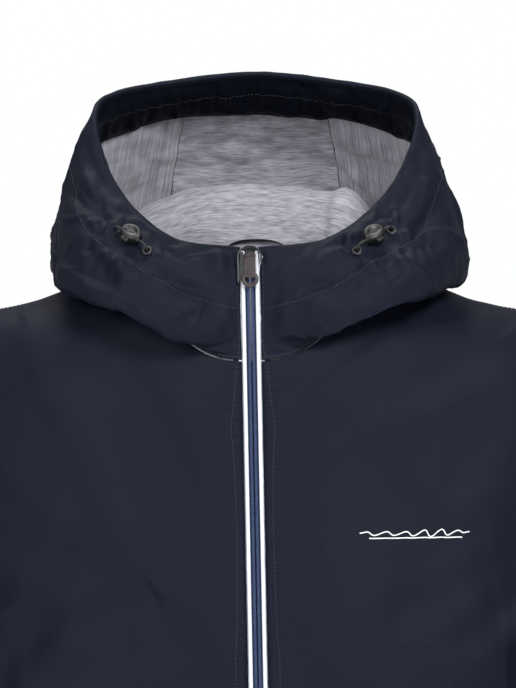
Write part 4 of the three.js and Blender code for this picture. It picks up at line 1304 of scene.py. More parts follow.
@dataclass
class Sleeves:
    """The sleeves with their jersey linings and elasticated cuffs.

    Attributes:
        grid: Columns and rows of a sleeve.
        gathers: Number of gathers round a cuff.
        channels: Number of elastic channels in a cuff.
    """

    grid: tuple[int, int] = (150, 210)
    gathers: int = 30
    channels: int = 3

    @staticmethod
    def tube(side: int, low: float, high: float) -> Place:
        """Surface of a stretch of sleeve."""

        def place(a: Array, b: Array) -> Array:
            return sleeve(side, np.pi * (2 * a - 1) * 0.9995, low + (high - low) * b)

        return place

    @staticmethod
    def folds(a: Array, b: Array, points: Array) -> Array:
        """Height of a sleeve's folds: soft down its length, with more at the elbow and over the cuff."""
        z = points[..., 2]
        elbow = np.exp(-(((z + 400) / 110) ** 2))
        wrist = np.exp(-(((z + 672) / 46) ** 2))
        broad = 1.8 * waves(points, 150, 31, (1, 1, 2.0)) + 1.0 * waves(points, 60, 37, (1.5, 1.5, 1))
        bent = 3.0 * elbow * (creases(points, 85, 41, (1.8, 1.4, 0.7)) - 0.3)
        slack = 2.4 * wrist * waves(points, 30, 43, (1.6, 1.6, 0.7))
        return (broad + bent + slack) * smooth(b, 0, 0.12) * smooth(1 - b, 0, 0.02) + groove(b * 700)

    def hang(self, a: Array, b: Array, points: Array) -> Array:
        """Height of a lining, which hangs clear of the shell's folds."""
        return np.minimum(self.folds(a, 0.5 + 0 * b, points), 0) - 1.6

    def cuff_relief(self, a: Array, b: Array, points: Array) -> Array:
        """Height of a cuff's gathers between its elastic channels."""
        wander = waves(points, 60, 47)
        ridge = np.abs(np.sin(np.pi * self.gathers * a + 0.8 * wander))
        channel = np.abs(np.sin(np.pi * self.channels * b)) ** 0.6
        return 0.4 + 1.3 * (ridge - 0.6) * (0.35 + 0.65 * channel)

    def build(self) -> None:
        """Makes both sleeves."""
        line = np.linspace(0, 1, 400)
        for side, word in SIDES:
            shell = Cloth(f"arm_{word}", self.tube(side, 0.001, 1), self.grid, -side, Look.SHELL, 0, 0.9, self.folds)
            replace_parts(shell.build(), f"sleeve_{word}")
            lining = Cloth(f"arm_lining_{word}", self.tube(side, 0.2, 1), (72, 120), -side, Look.JERSEY_ROWS, 3.4,
                           0.8, self.hang)
            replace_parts(lining.build(), f"sleeve_lining_{word}")
            high = 1 + CUFF_LENGTH / SLEEVE_RUN
            place = self.tube(side, 1.0008, high)
            cuff = Cloth(f"wrist_{word}", place, (260, 24), -side, Look.SHELL, 0, 2.4, self.cuff_relief)
            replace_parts(cuff.build(), f"cuff_{word}")
            rows = [cuff.row(line, np.full(400, k / self.channels)) for k in (1, 2)]
            rows.append(shell.row(line, np.full(400, 1 - 3 / 640)))
            rows.append(shell.row(line, np.full(400, 3.2 / 640)))
            stitches(f"stitching_arm_{word}", rows, Look.SEAM_THREAD)


# ---------------------------------------------------------------------------------------------------
# Hood


@dataclass
class HoodCloth:
    """The hood: three shell panels, three jersey panels, facings and the rolled rim.

    Attributes:
        grid: Columns and rows of a side panel.
        seam_deg: Half a panel seam's gap, in degrees round the hood.
        thickness: The shell cloth's thickness, in millimetres.
        rim_gap: How far the rolled rim starts past the panels' edge.
        tunnel_room: How deep a fold may go over the drawcord.
    """

    grid: tuple[int, int] = (210, 150)
    seam_deg: float = 0.12
    thickness: float = 0.8
    rim_gap: float = 0.1
    tunnel_room: float = 0.6

    def half(self, side: int, first: float, last: float, row: Callable[[Array, Array], Array]) -> Place:
        """Surface of one side's panel between two angles."""
        return lambda a, b: hood(side, first + (last - first) * a, row(first + (last - first) * a, b))

    def centre(self, row: Callable[[Array, Array], Array]) -> Place:
        """Surface of a centre panel."""

        def place(a: Array, b: Array) -> Array:
            turn = (180 - CENTRE_PANEL_DEG - self.seam_deg) * (2 * a - 1)
            deg = 180 - np.abs(turn)
            return hood(np.where(turn < 0, 1, -1), deg, row(deg, b))

        return place

    @staticmethod
    def whole(deg: Array, b: Array) -> Array:
        """Rows from the neck seam to the rim."""
        return HOOD_START + (1 - HOOD_START) * b

    @staticmethod
    def to_facing(deg: Array, b: Array) -> Array:
        """Rows from behind the neck roll's crest to the facing."""
        return ROLL_END + (facing_line(deg) - ROLL_END) * b

    @staticmethod
    def roll(a: Array, b: Array) -> Array:
        """The jersey of the neck roll: across the front's tight turn, and up over a wide crest at the back."""
        turn = (360 * a - 180) * (1 - 8 / 180)
        side, deg = np.where(turn < 0, 1, -1), 180 - np.abs(turn)
        t = HOOD_START + (ROLL_END + 0.03 - HOOD_START) * b
        share = (1 - smooth(deg, 75, 105))[..., None]
        first, last = (hood(side, deg, np.full_like(deg, level)) for level in (HOOD_START, ROLL_END + 0.03))
        last[..., 1] += 8
        points = hood(side, deg, t) * (1 - share) + (first + (last - first) * b[..., None]) * share
        crest = np.exp(-(((t - 0.26) / 0.1) ** 2)) * smooth(points[..., 1], -60, -20)
        x = points[..., 0]
        wide = 9 * np.exp(-(((x - 78) / 20) ** 2)) + 7 * np.exp(-(((x + 86) / 22) ** 2))
        points[..., 2] += wide * crest
        return points

    @staticmethod
    def to_rim(deg: Array, b: Array) -> Array:
        """Rows from the facing to the rim."""
        return facing_line(deg) + (1 - facing_line(deg)) * b

    @staticmethod
    def lock_middles() -> Array:
        """Middles of the two cord locks' seats, in millimetres."""
        deg = np.array([sum(EYELET_DEG) / 2] * 2)
        return hood(np.array([1, -1]), deg, tunnel_line(deg))

    def relief(self, points: Array, edge: Array, neck: Array) -> Array:
        """Height of the shell's folds.

        Args:
            points: Points of the surface.
            edge: Distance to the rim, as a share of the hood's rows.
            neck: Distance to the neck seam, as a share of the hood's rows.

        Returns:
            Heights in millimetres.
        """
        x, y = points[..., 0], points[..., 1]
        locks = np.min([np.linalg.norm(points - middle, axis=-1) for middle in self.lock_middles()], axis=0)
        seat = smooth(locks, 9, 24)
        front = smooth(-y, 66, 110)
        gathered = np.exp(-(((edge - 0.08) / 0.09) ** 2))
        ripples = 0.75 * waves(points, 15, 53, (1, 1.6, 1.6)) * gathered * (0.5 + 1.1 * front)
        tension = 1.5 * waves(points, 13, 59, (0.8, 1.4, 1.6)) * np.exp(-(((locks - 24) / 15) ** 2))
        broad = 1.6 * waves(points, 85, 61, (1.2, 1, 1)) + 0.5 * waves(points, 32, 67)
        crisp = 1.9 * (creases(points, 78, 71, (1.5, 1, 1)) - 0.35) + 0.8 * (creases(points, 40, 73) - 0.35)
        at_zip = np.abs(x - zip_x(points[..., 2])) - PANEL_EDGE
        calm = smooth(edge, 0, 0.1) * smooth(neck, 0, 0.06) * np.where(y < -100, smooth(at_zip, 0, 24), 1)
        pucker = 0.18 * waves(points, 7, 79, (4, 1, 0.7)) * np.exp(-((at_zip / 10) ** 2)) * (y < -120)
        deep = folded(HOOD_FOLDS, points) * front
        height = (deep + broad + crisp) * calm * seat + (ripples + tension) * smooth(edge, 0, 0.05) * seat + pucker
        room = 1 - smooth(self.from_tunnel(points), 4, 12)
        return height + room * np.maximum(-self.tunnel_room - height, 0)

    @staticmethod
    def from_tunnel(points: Array) -> Array:
        """Distance to the line where the drawcord runs."""
        deg = np.linspace(0, 180, 91)
        line = np.concatenate([hood(side, deg, tunnel_line(deg)) for side, _ in SIDES])
        return np.min([np.linalg.norm(points - p, axis=-1) for p in line], axis=0)

    def inner_relief(self, first: float, last: float, row: Callable, heights: Callable) -> Relief:
        """Folds of an inner panel between two angles; a centre panel's angles are mirrored at the back."""

        def relief(a: Array, b: Array, points: Array) -> Array:
            deg = first + (last - first) * a
            deg = np.where(deg > 180, 360 - deg, deg)
            return heights(deg, row(deg, b), b, points)

        return relief

    def shell_relief(self, seams: Callable[[Array], Array]) -> Relief:
        """Folds and seam grooves of a shell panel."""

        def relief(a: Array, b: Array, points: Array) -> Array:
            return self.relief(points, 1 - b, b) + seams(a)

        return relief

    def build(self) -> None:
        """Makes the hood's cloth."""
        line = np.linspace(0, 1, 500)
        for side, word in SIDES:
            seams = self.shell_relief(lambda a: groove(a * 420, 1.2) + groove((1 - a) * 420))
            place = self.half(side, 0, CENTRE_PANEL_DEG - self.seam_deg, self.whole)
            shell = Cloth(f"hood_shell_{word}", place, self.grid, side, Look.SHELL, 0, self.thickness, seams)
            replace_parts(shell.build(self.eyelet_holes(side)), f"hood_side_{word}")
            self.side_stitches(shell, word, line)
            last = CENTRE_PANEL_DEG - self.seam_deg
            place = self.half(side, 8, last, self.to_facing)
            lining = Cloth(f"hood_jersey_{word}", place, (120, 110), side, Look.JERSEY_COLUMNS,
                           HOOD_LINING_DEPTH, 0.9,
                           self.inner_relief(8, last, self.to_facing, self.jersey_relief))
            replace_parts(lining.build(), f"hood_lining_{word}")
            place = self.half(side, 0, 180, self.to_rim)
            facing = Cloth(f"hood_band_{word}", place, (260, 36), side, Look.FACING,
                           self.facing_depth, 0.7,
                           self.inner_relief(0, 180, self.to_rim, self.facing_relief))
            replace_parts(facing.build(), f"hood_facing_{word}")
            self.facing_stitches(facing, side, word, line)
        seams = self.shell_relief(lambda a: groove(a * 120) + groove((1 - a) * 120))
        centre = Cloth("hood_shell_centre", self.centre(self.whole), (70, 150), 1, Look.SHELL, 0,
                       self.thickness, seams)
        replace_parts(centre.build(), "hood_centre_panel")
        rows = [centre.row(np.full(500, a), line) for a in (2.4 / 110, 1 - 2.4 / 110)]
        stitches("stitching_hood_centre", rows, Look.SEAM_THREAD)
        inner = Cloth("hood_jersey_centre", self.centre(self.to_facing), (70, 130), 1, Look.JERSEY_ROWS,
                      HOOD_LINING_DEPTH, 0.9,
                      self.inner_relief(last, 360 - last, self.to_facing, self.jersey_relief))
        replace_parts(inner.build(), "hood_lining_centre")
        def soft(a: Array, b: Array, points: Array) -> Array:
            folds = folded(ROLL_FOLDS, points) * smooth(points[..., 1], -70, -20)
            slack = 0.7 * waves(points, 60, 83, (1.8, 1, 1)) + 0.5 * waves(points, 26, 89, (1.8, 1, 1))
            front = 2.5 * smooth(-points[..., 1], 50, 100)
            return -(np.abs(slack) + folds) * smooth(b, 0, 0.2) - 3.4 - front

        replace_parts(Cloth("neck_roll_jersey", self.roll, (260, 60), 1, Look.JERSEY_ROWS, HOOD_LINING_DEPTH, 0.9,
                          soft).build(), "hood_lining_left", "hood_lining_right", "hood_lining_centre")
        self.rim()

    def eyelet_holes(self, side: int) -> Callable[[bmesh.types.BMesh], None]:
        """Opens the shell under each eyelet."""
        deg = np.array(EYELET_DEG)
        middles = [Vector(p) for p in in_frame(hood(side, deg, tunnel_line(deg)))]

        def cut(bm: bmesh.types.BMesh) -> None:
            gone = [f for f in bm.faces if min((f.calc_center_median() - m).length for m in middles) < 0.0021]
            bmesh.ops.delete(bm, geom=gone, context="FACES")

        return cut

    @staticmethod
    def side_stitches(shell: Cloth, word: str, line: Array) -> None:
        """Topstitches a side panel along the zip, the neck seam, the centre seam and the tunnel."""
        deg = CENTRE_PANEL_DEG * line
        rows = [
            shell.row(np.full(500, 3.2 / 420), line),
            shell.row(np.full(500, 1 - 2.4 / 420), line),
            shell.row(line, np.full(500, 0.022)),
            shell.row(line[8:], (facing_line(deg)[8:] - HOOD_START) / (1 - HOOD_START)),
        ]
        stitches(f"stitching_hood_{word}", rows, Look.SEAM_THREAD)

    def valleys(self, points: Array, deg: Array, t: Array) -> Array:
        """Depth of the shell's folds, which the layers inside it keep clear of."""
        b = (t - HOOD_START) / (1 - HOOD_START)
        return np.minimum(self.relief(points, 1 - b, b), 0)

    def jersey_relief(self, deg: Array, t: Array, b: Array, points: Array) -> Array:
        """Height of the jersey's soft folds, never past the shell."""
        slack = 0.9 * waves(points, 60, 83, (1.6, 1, 1)) + 0.5 * waves(points, 24, 89, (1.5, 1, 1))
        folds = 0.9 * creases(points, 55, 97, (1.8, 1, 1))
        soft = (np.abs(slack + folds) + 0.6) * smooth(t, 0.3, 0.5) * smooth(1 - b, 0, 0.06)
        tight = 3.4 * (1 - smooth(t, 0.42, 0.6)) * smooth(-points[..., 1], 30, 90)
        return self.valleys(points, deg, t) - soft - tight - 0.2 - 0.8 * smooth(1 - b, 0, 0.06)

    @staticmethod
    def facing_depth(a: Array, b: Array) -> Array:
        """Depth of the facing: tacked to the jersey, over the cord's tunnel, and thin at the rim."""
        return 3.1 + (FACING_DEPTH - 3.1) * smooth(b, 0, 0.22) - (FACING_DEPTH - RIM_DEPTH) * smooth(b, 0.66, 1)

    def facing_relief(self, deg: Array, t: Array, b: Array, points: Array) -> Array:
        """Height of the facing's gathers."""
        across = 0.55 * waves(points, 13, 101, (0.8, 2, 2)) + 0.5 * waves(points, 30, 103, (0.9, 2, 2))
        drawn = 0.9 * (creases(points, 34, 107, (0.9, 2.2, 2.2)) - 0.4)
        gathers = (across + drawn) * smooth(b, 0, 0.15) * smooth(1 - b, 0, 0.2)
        return gathers + self.valleys(points, deg, t) * smooth(1 - b, 0, 0.3)

    def facing_stitches(self, facing: Cloth, side: int, word: str, line: Array) -> None:
        """Stitches the facing inside, along its lower edge and beside the tunnel."""
        inner = Cloth("", facing.place, facing.grid, facing.outward, depth=facing.depth, relief=facing.relief)
        rows = [inner.row(line, np.full(500, b), -0.85) for b in (0.05, 0.6)]
        stitches(f"stitching_band_{word}", rows, Look.DARK_THREAD)

    def rim(self) -> None:
        """Makes the rolled rim, from the shell's edge over to the facing's."""
        radius = RIM_DEPTH / 2

        def place(a: Array, b: Array) -> Array:
            turn = 360 * a - 180
            side, deg = np.where(turn < 0, 1, -1), 180 - np.abs(turn)
            edge, below = hood(side, deg, np.ones_like(deg)), hood(side, deg, np.full_like(deg, 0.99))
            ahead = hood(side, np.minimum(deg + 0.5, 180), np.ones_like(deg))
            behind = hood(side, np.maximum(deg - 0.5, 0), np.ones_like(deg))
            rise = edge - below
            rise /= np.linalg.norm(rise, axis=-1, keepdims=True)
            out = np.cross(ahead - behind, rise) * side[..., None]
            out /= np.linalg.norm(out, axis=-1, keepdims=True)
            roll = np.pi * b
            lift = (self.rim_gap + radius * 1.05 * np.sin(roll))[..., None]
            return edge + rise * lift - out * (radius * (1 - np.cos(roll)))[..., None]

        def relief(a: Array, b: Array, points: Array) -> Array:
            return 0.12 * waves(points, 16, 109)

        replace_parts(Cloth("hood_edge", place, (520, 12), 1, Look.SHELL, 0, 0.7, relief).build(), "hood_rim")


@dataclass
class CordGear:
    """One side's eyelets, cord lock with its button, and exposed loop of cord.

    Attributes:
        side: 1 for the wearer's left, -1 for the right.
        word: The side's name.
        bend: Bend of the cord between eyelet and lock, in millimetres.
        lock: Length, width and thickness of the lock.
        top: Where the lock's button end is, across the cord.
        button: Width, thickness and reach of the button.
        cord_radius: Radius of the cord.
    """

    side: int
    word: str
    bend: float = 4.6
    lock: tuple[float, float, float] = (18.0, 14.0, 8.4)
    top: float = 5.5
    button: tuple[float, float, float] = (6.0, 4.8, 2.4)
    cord_radius: float = 1.1

    def __post_init__(self) -> None:
        """Works out the lock's frame."""
        deg = np.array([*EYELET_DEG, sum(EYELET_DEG) / 2])
        place = self.surface()
        self.points = hood(self.side, deg, tunnel_line(deg))
        share = deg / CENTRE_PANEL_DEG
        self.out = normals(place, share, tunnel_line(deg)) * self.side
        along = unit(self.points[1] - self.points[0]) * self.side
        across = unit(np.cross(along, self.out[2]))
        away = unit(np.cross(across, along))
        self.height = self.bend + 1.9
        self.span = float(np.linalg.norm(self.points[1] - self.points[0]))
        self.frame = LocalFrame((self.points[0] + self.points[1]) / 2, along, away, across)

    def surface(self) -> Place:
        """The hood's side, for its normals."""
        return lambda a, b: hood(self.side, a * CENTRE_PANEL_DEG, b)

    def build(self) -> None:
        """Makes the pieces."""
        self.eyelets()
        self.housing()
        self.plunger()
        self.loop()

    def eyelets(self) -> None:
        """Makes the two eyelets: a rolled flange and a barrel."""
        for k, level in ((0, "lower"), (1, "upper")):
            profile = [(1.6, -2.0), (2.5, -2.0), (2.5, 0.2), (4.2, 0.25), (4.5, 0.5), (4.35, 0.95),
                       (3.6, 1.25), (2.6, 1.2), (1.95, 0.8), (1.65, 0.1)]
            bm = bmesh.new()
            verts = [bm.verts.new((r, 0, h)) for r, h in profile]
            edges = [bm.edges.new((verts[i], verts[(i + 1) % len(verts)])) for i in range(len(verts))]
            bmesh.ops.spin(bm, geom=[*verts, *edges], cent=(0, 0, 0), axis=(0, 0, 1), dvec=(0, 0, 0),
                           angle=2 * math.pi, steps=40, use_merge=True)
            bmesh.ops.recalc_face_normals(bm, faces=bm.faces[:])
            turn = Vector(self.out[k]).to_track_quat("Z", "Y").to_matrix().to_4x4()
            middle = Matrix.Translation((Vector(self.points[k]) + Vector(SHIFT)) * MM)
            bmesh.ops.transform(bm, matrix=middle @ turn @ Matrix.Scale(MM, 4), verts=bm.verts[:])
            piece = shown(f"grommet_{level}_{self.word}", bm, Look.MOULDING)
            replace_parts(piece, f"eyelet_{level}_{self.word}")

    def housing(self) -> None:
        """Makes the lock's oval housing, with a raised ring round a sunk face and a mouth for the cord."""
        length, width, thickness = self.lock
        bm = bmesh.new()
        bmesh.ops.create_circle(bm, cap_ends=True, segments=48, radius=1)
        bmesh.ops.scale(bm, vec=(length / 2, width / 2, 1), verts=bm.verts[:])
        bmesh.ops.translate(bm, vec=(0, 0, -thickness / 2), verts=bm.verts[:])
        far = bmesh.ops.extrude_face_region(bm, geom=bm.faces[:])["geom"]
        far = [g for g in far if isinstance(g, bmesh.types.BMVert)]
        bmesh.ops.translate(bm, vec=(0, 0, thickness), verts=far)
        bmesh.ops.recalc_face_normals(bm, faces=bm.faces[:])
        rims = [e for e in bm.edges if all(abs(v.co.z - e.verts[0].co.z) < 1e-6 for v in e.verts)]
        bmesh.ops.bevel(bm, geom=rims, offset=2.2, segments=5, profile=0.5, affect="EDGES", material=-1)
        for face in [f for f in bm.faces if abs(f.normal.z) > 0.99 and len(f.verts) > 8]:
            bmesh.ops.inset_region(bm, faces=[face], thickness=1.3, depth=0)
            bmesh.ops.inset_region(bm, faces=[face], thickness=0.35, depth=-0.9)
            bmesh.ops.inset_region(bm, faces=[face], thickness=1.6, depth=0.25)
        turn = Matrix(((1, 0, 0), (0, 0, 1), (0, 1, 0))).to_4x4()
        move = Matrix.Translation((0, self.height, self.top - width / 2))
        bmesh.ops.transform(bm, matrix=self.frame.matrix() @ move @ turn, verts=bm.verts[:])
        for end in (-1, 1):
            mouth = Matrix.Translation((end * (length / 2 - 0.9), self.height, 0))
            ring = self.frame.matrix() @ mouth @ Matrix.Rotation(math.pi / 2, 4, "Y")
            made = bmesh.ops.create_cone(bm, cap_ends=True, segments=24, radius1=2.5, radius2=2.0, depth=2.2,
                                         matrix=ring if end > 0 else ring @ Matrix.Rotation(math.pi, 4, "X"))
            edges = list({e for v in made["verts"] for e in v.link_edges if len(v.link_edges) == 3})
            bmesh.ops.bevel(bm, geom=edges, offset=0.00025, segments=2, profile=0.5, affect="EDGES", material=-1)
        bmesh.ops.recalc_face_normals(bm, faces=bm.faces[:])
        piece = shown(f"lock_housing_{self.word}", bm, Look.MOULDING, f"lock_{self.word}")
        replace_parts(piece, f"cord_lock_{self.word}")

    def plunger(self) -> None:
        """Makes the lock's ribbed button."""
        width, thick, reach = self.button
        bm = bmesh.new()
        outline = [(-width / 2, self.top - 4), (width / 2, self.top - 4), (width / 2, self.top + reach),
                   (-width / 2, self.top + reach)]
        slab(bm, outline, (self.height - thick / 2, self.height + thick / 2), 0.5)
        for x in (-1.8, 0, 1.8):
            rib = [(x - 0.35, self.top + reach - 0.4), (x + 0.35, self.top + reach - 0.4),
                   (x + 0.35, self.top + reach + 0.35), (x - 0.35, self.top + reach + 0.35)]
            slab(bm, rib, (self.height - thick / 2 + 0.5, self.height + thick / 2 - 0.5), 0.12)
        bmesh.ops.transform(bm, matrix=self.frame.matrix(), verts=bm.verts[:])
        piece = shown(f"lock_button_{self.word}", bm, Look.MOULDING, f"lock_plunger_{self.word}")
        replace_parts(piece, f"cord_lock_plunger_{self.word}")

    def loop(self) -> None:
        """Makes the exposed loop of cord, out of one eyelet, through the lock and into the other."""
        reach, high, bend = self.span / 2, self.height, self.bend
        corner = [(reach, -2.6), (reach, -0.6), (reach, high - bend), (reach - bend * 0.076, high - bend * 0.617),
                  (reach - bend * 0.293, high - bend * 0.293), (reach - bend * 0.617, high - bend * 0.076),
                  (reach - bend, high)]
        route = [(-x, y) for x, y in corner] + [(-6, high), (0, high), (6, high)] + corner[::-1]
        t = np.linspace(0, 1, 90)
        x, y = through([p[0] for p in route], t), through([p[1] for p in route], t)
        points = in_frame(self.frame.at(x, y, 0))
        curve = bpy.data.curves.new(f"cord_{self.word}", "CURVE")
        curve.dimensions = "3D"
        curve.bevel_depth = self.cord_radius * MM
        curve.bevel_resolution = 4
        curve.use_fill_caps = True
        spline = curve.splines.new("POLY")
        spline.points.add(len(points) - 1)
        for item, point in zip(spline.points, points):
            item.co = (*point, 1)
        piece = bpy.data.objects.new(f"cord_{self.word}", curve)
        bpy.context.scene.collection.objects.link(piece)
        curve.materials.append(Look.CORD.material())
        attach(piece, BODY)
        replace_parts(piece, f"cord_loop_{self.word}")


# ---------------------------------------------------------------------------------------------------
# Zips


@dataclass
class Slider:
    """A zip's slider and the puller that hangs from its pin, in the zip's frame.

    Attributes:
        prefix: Start of the CAD nodes' names.
        bodies: Bodies of the slider and of the puller.
        frame: The zip's frame.
        top: Its top end, in millimetres.
        puller_length: Length of its puller.
        length: Its length.
        half: Half its width.
        ring: Radius of the puller's ring.
    """

    prefix: str
    bodies: tuple[str, str]
    frame: LocalFrame
    top: float
    puller_length: float
    length: float = 14.0
    half: float = 4.6
    ring: float = 6.5
    pin_y: float = -4.4

    def build(self) -> None:
        """Makes the slider and its puller."""
        self.body()
        self.puller()

    def plate(self) -> list[tuple[float, float]]:
        """Outline of the slider's plates, narrower at the bottom."""
        top, bottom, half = self.top, self.top - self.length, self.half
        right = arc((half - 2.6, top - 2.6), 2.6, 90, 0, 7)
        right += arc((half - 1.7, bottom + 1), 1.0, 0, -90, 4)
        return right + [(-x, z) for x, z in right[::-1]]

    def body(self) -> None:
        """Makes the slider: two plates on a post, with lugs and a pin."""
        bm = bmesh.new()
        slab(bm, self.plate(), (-2.8, -1.3), 0.45)
        slab(bm, self.plate(), (3.4, 4.6), 0.35)
        slab(bm, [(-0.6, self.top - 3.4), (0.6, self.top - 3.4), (0.6, self.top - 0.4), (-0.6, self.top - 0.4)],
             (-1.5, 3.5), 0)
        pin_z = self.top - 2.6
        for x in (-3.0, 2.1):
            lug = [(x, pin_z - 1.5), (x + 0.9, pin_z - 1.5), (x + 0.9, pin_z + 1.2), (x, pin_z + 1.2)]
            slab(bm, lug, (self.pin_y - 0.95, -2.6), 0.25)
        for y in (-1.5, 3.6):
            for side in (-1, 1):
                x = side * (self.half - 0.75)
                wall = [(x - 0.35, self.top - self.length + 1.4), (x + 0.35, self.top - self.length + 1.4),
                        (x + 0.35, self.top - 4), (x - 0.35, self.top - 4)]
                slab(bm, wall, (y - 0.4, y + 0.6) if y < 0 else (y - 0.7, y), 0.1)
        turn = Matrix.Translation((0, self.pin_y, pin_z)) @ Matrix.Rotation(math.pi / 2, 4, "Y")
        bmesh.ops.create_cone(bm, cap_ends=True, segments=20, radius1=0.6, radius2=0.6, depth=5.9, matrix=turn)
        bmesh.ops.transform(bm, matrix=self.frame.matrix(), verts=bm.verts[:])
        piece = shown(f"{self.prefix}_runner", bm, Look.GUNMETAL, self.bodies[0], False)
        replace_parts(piece, f"{self.prefix}_slider")

    def puller(self) -> None:
        """Makes the puller: a knuckle, a shaped tab and a round ring."""
        pin_z = self.top - 2.6
        end = pin_z - self.puller_length + self.ring
        bm = bmesh.new()
        wide = self.ring * 0.66
        right = [(1.7, pin_z - 1.0), (wide - 0.9, pin_z - 2.4), (wide, pin_z - 4.6), (wide, end + self.ring + 1),
                 (wide - 0.5, end + 1.8), (wide - 1.4, end + 1.2)]
        slab(bm, right + [(-x, z) for x, z in right[::-1]], (self.pin_y - 0.7, self.pin_y + 0.7), 0.35)
        groove_z = (pin_z - 5.2, end + self.ring - 0.5)
        ridge = [(-1.9, groove_z[1]), (1.9, groove_z[1]), (1.7, groove_z[0]), (-1.7, groove_z[0])]
        slab(bm, ridge, (self.pin_y - 0.95, self.pin_y - 0.6), 0.12)
        turn = Matrix.Translation((0, self.pin_y, pin_z)) @ Matrix.Rotation(math.pi / 2, 4, "Y")
        bmesh.ops.create_cone(bm, cap_ends=True, segments=24, radius1=1.45, radius2=1.45, depth=3.6, matrix=turn)
        ring = bmesh.new()
        wire = 1.5
        circle = Matrix.Translation((self.ring - wire, 0, 0)) @ Matrix.Rotation(math.pi / 2, 4, "X")
        bmesh.ops.create_circle(ring, cap_ends=False, segments=12, radius=wire, matrix=circle)
        bmesh.ops.scale(ring, vec=(1, 1, 0.75), verts=ring.verts[:])
        bmesh.ops.spin(ring, geom=[*ring.verts, *ring.edges], cent=(0, 0, 0), axis=(0, 0, 1), dvec=(0, 0, 0),
                       angle=2 * math.pi, steps=40, use_merge=True)
        bmesh.ops.recalc_face_normals(ring, faces=ring.faces[:])
        lie = Matrix.Translation((0, self.pin_y, end)) @ Matrix.Rotation(math.pi / 2, 4, "X")
        bmesh.ops.transform(ring, matrix=lie, verts=ring.verts[:])
        spare = bpy.data.meshes.new("ring")
        ring.to_mesh(spare)
        ring.free()
        bm.from_mesh(spare)
        bpy.data.meshes.remove(spare)
        bmesh.ops.transform(bm, matrix=self.frame.matrix(), verts=bm.verts[:])
        piece = shown(f"{self.prefix}_tab", bm, Look.GUNMETAL, self.bodies[1], False)
        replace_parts(piece, f"{self.prefix}_puller")


def coil(name: str, frame: LocalFrame, side: int, z: tuple[float, float], pitch: float, node: str = "") -> None:
    """One side's chain of nylon coil, tooth by tooth.

    Args:
        name: The piece's name.
        frame: The zip's frame.
        side: 1 or -1.
        z: Its lower and upper ends, in millimetres.
        pitch: Distance between teeth.
        node: The CAD node that it stands for, if any.
    """
    shift = 0.25 * pitch * side
    tooth = Matrix.Rotation(side * 0.16, 4, "Y") @ Matrix.Diagonal((1.55, 1.0, pitch * 0.43, 1))
    count = int((z[1] - z[0]) / pitch)
    heights = [z[0] + (k + 0.5) * pitch + shift for k in range(count)]
    middles = [Matrix.Translation((side * 1.62, 1.75, height)) for height in heights]
    bm = bmesh.new()
    bmesh.ops.create_uvsphere(bm, u_segments=8, v_segments=6, radius=1)
    repeated(bm, np.array([frame.matrix() @ middle @ tooth for middle in middles]))
    piece = shown(name, bm, Look.COIL)
    if node:
        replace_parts(piece, node)


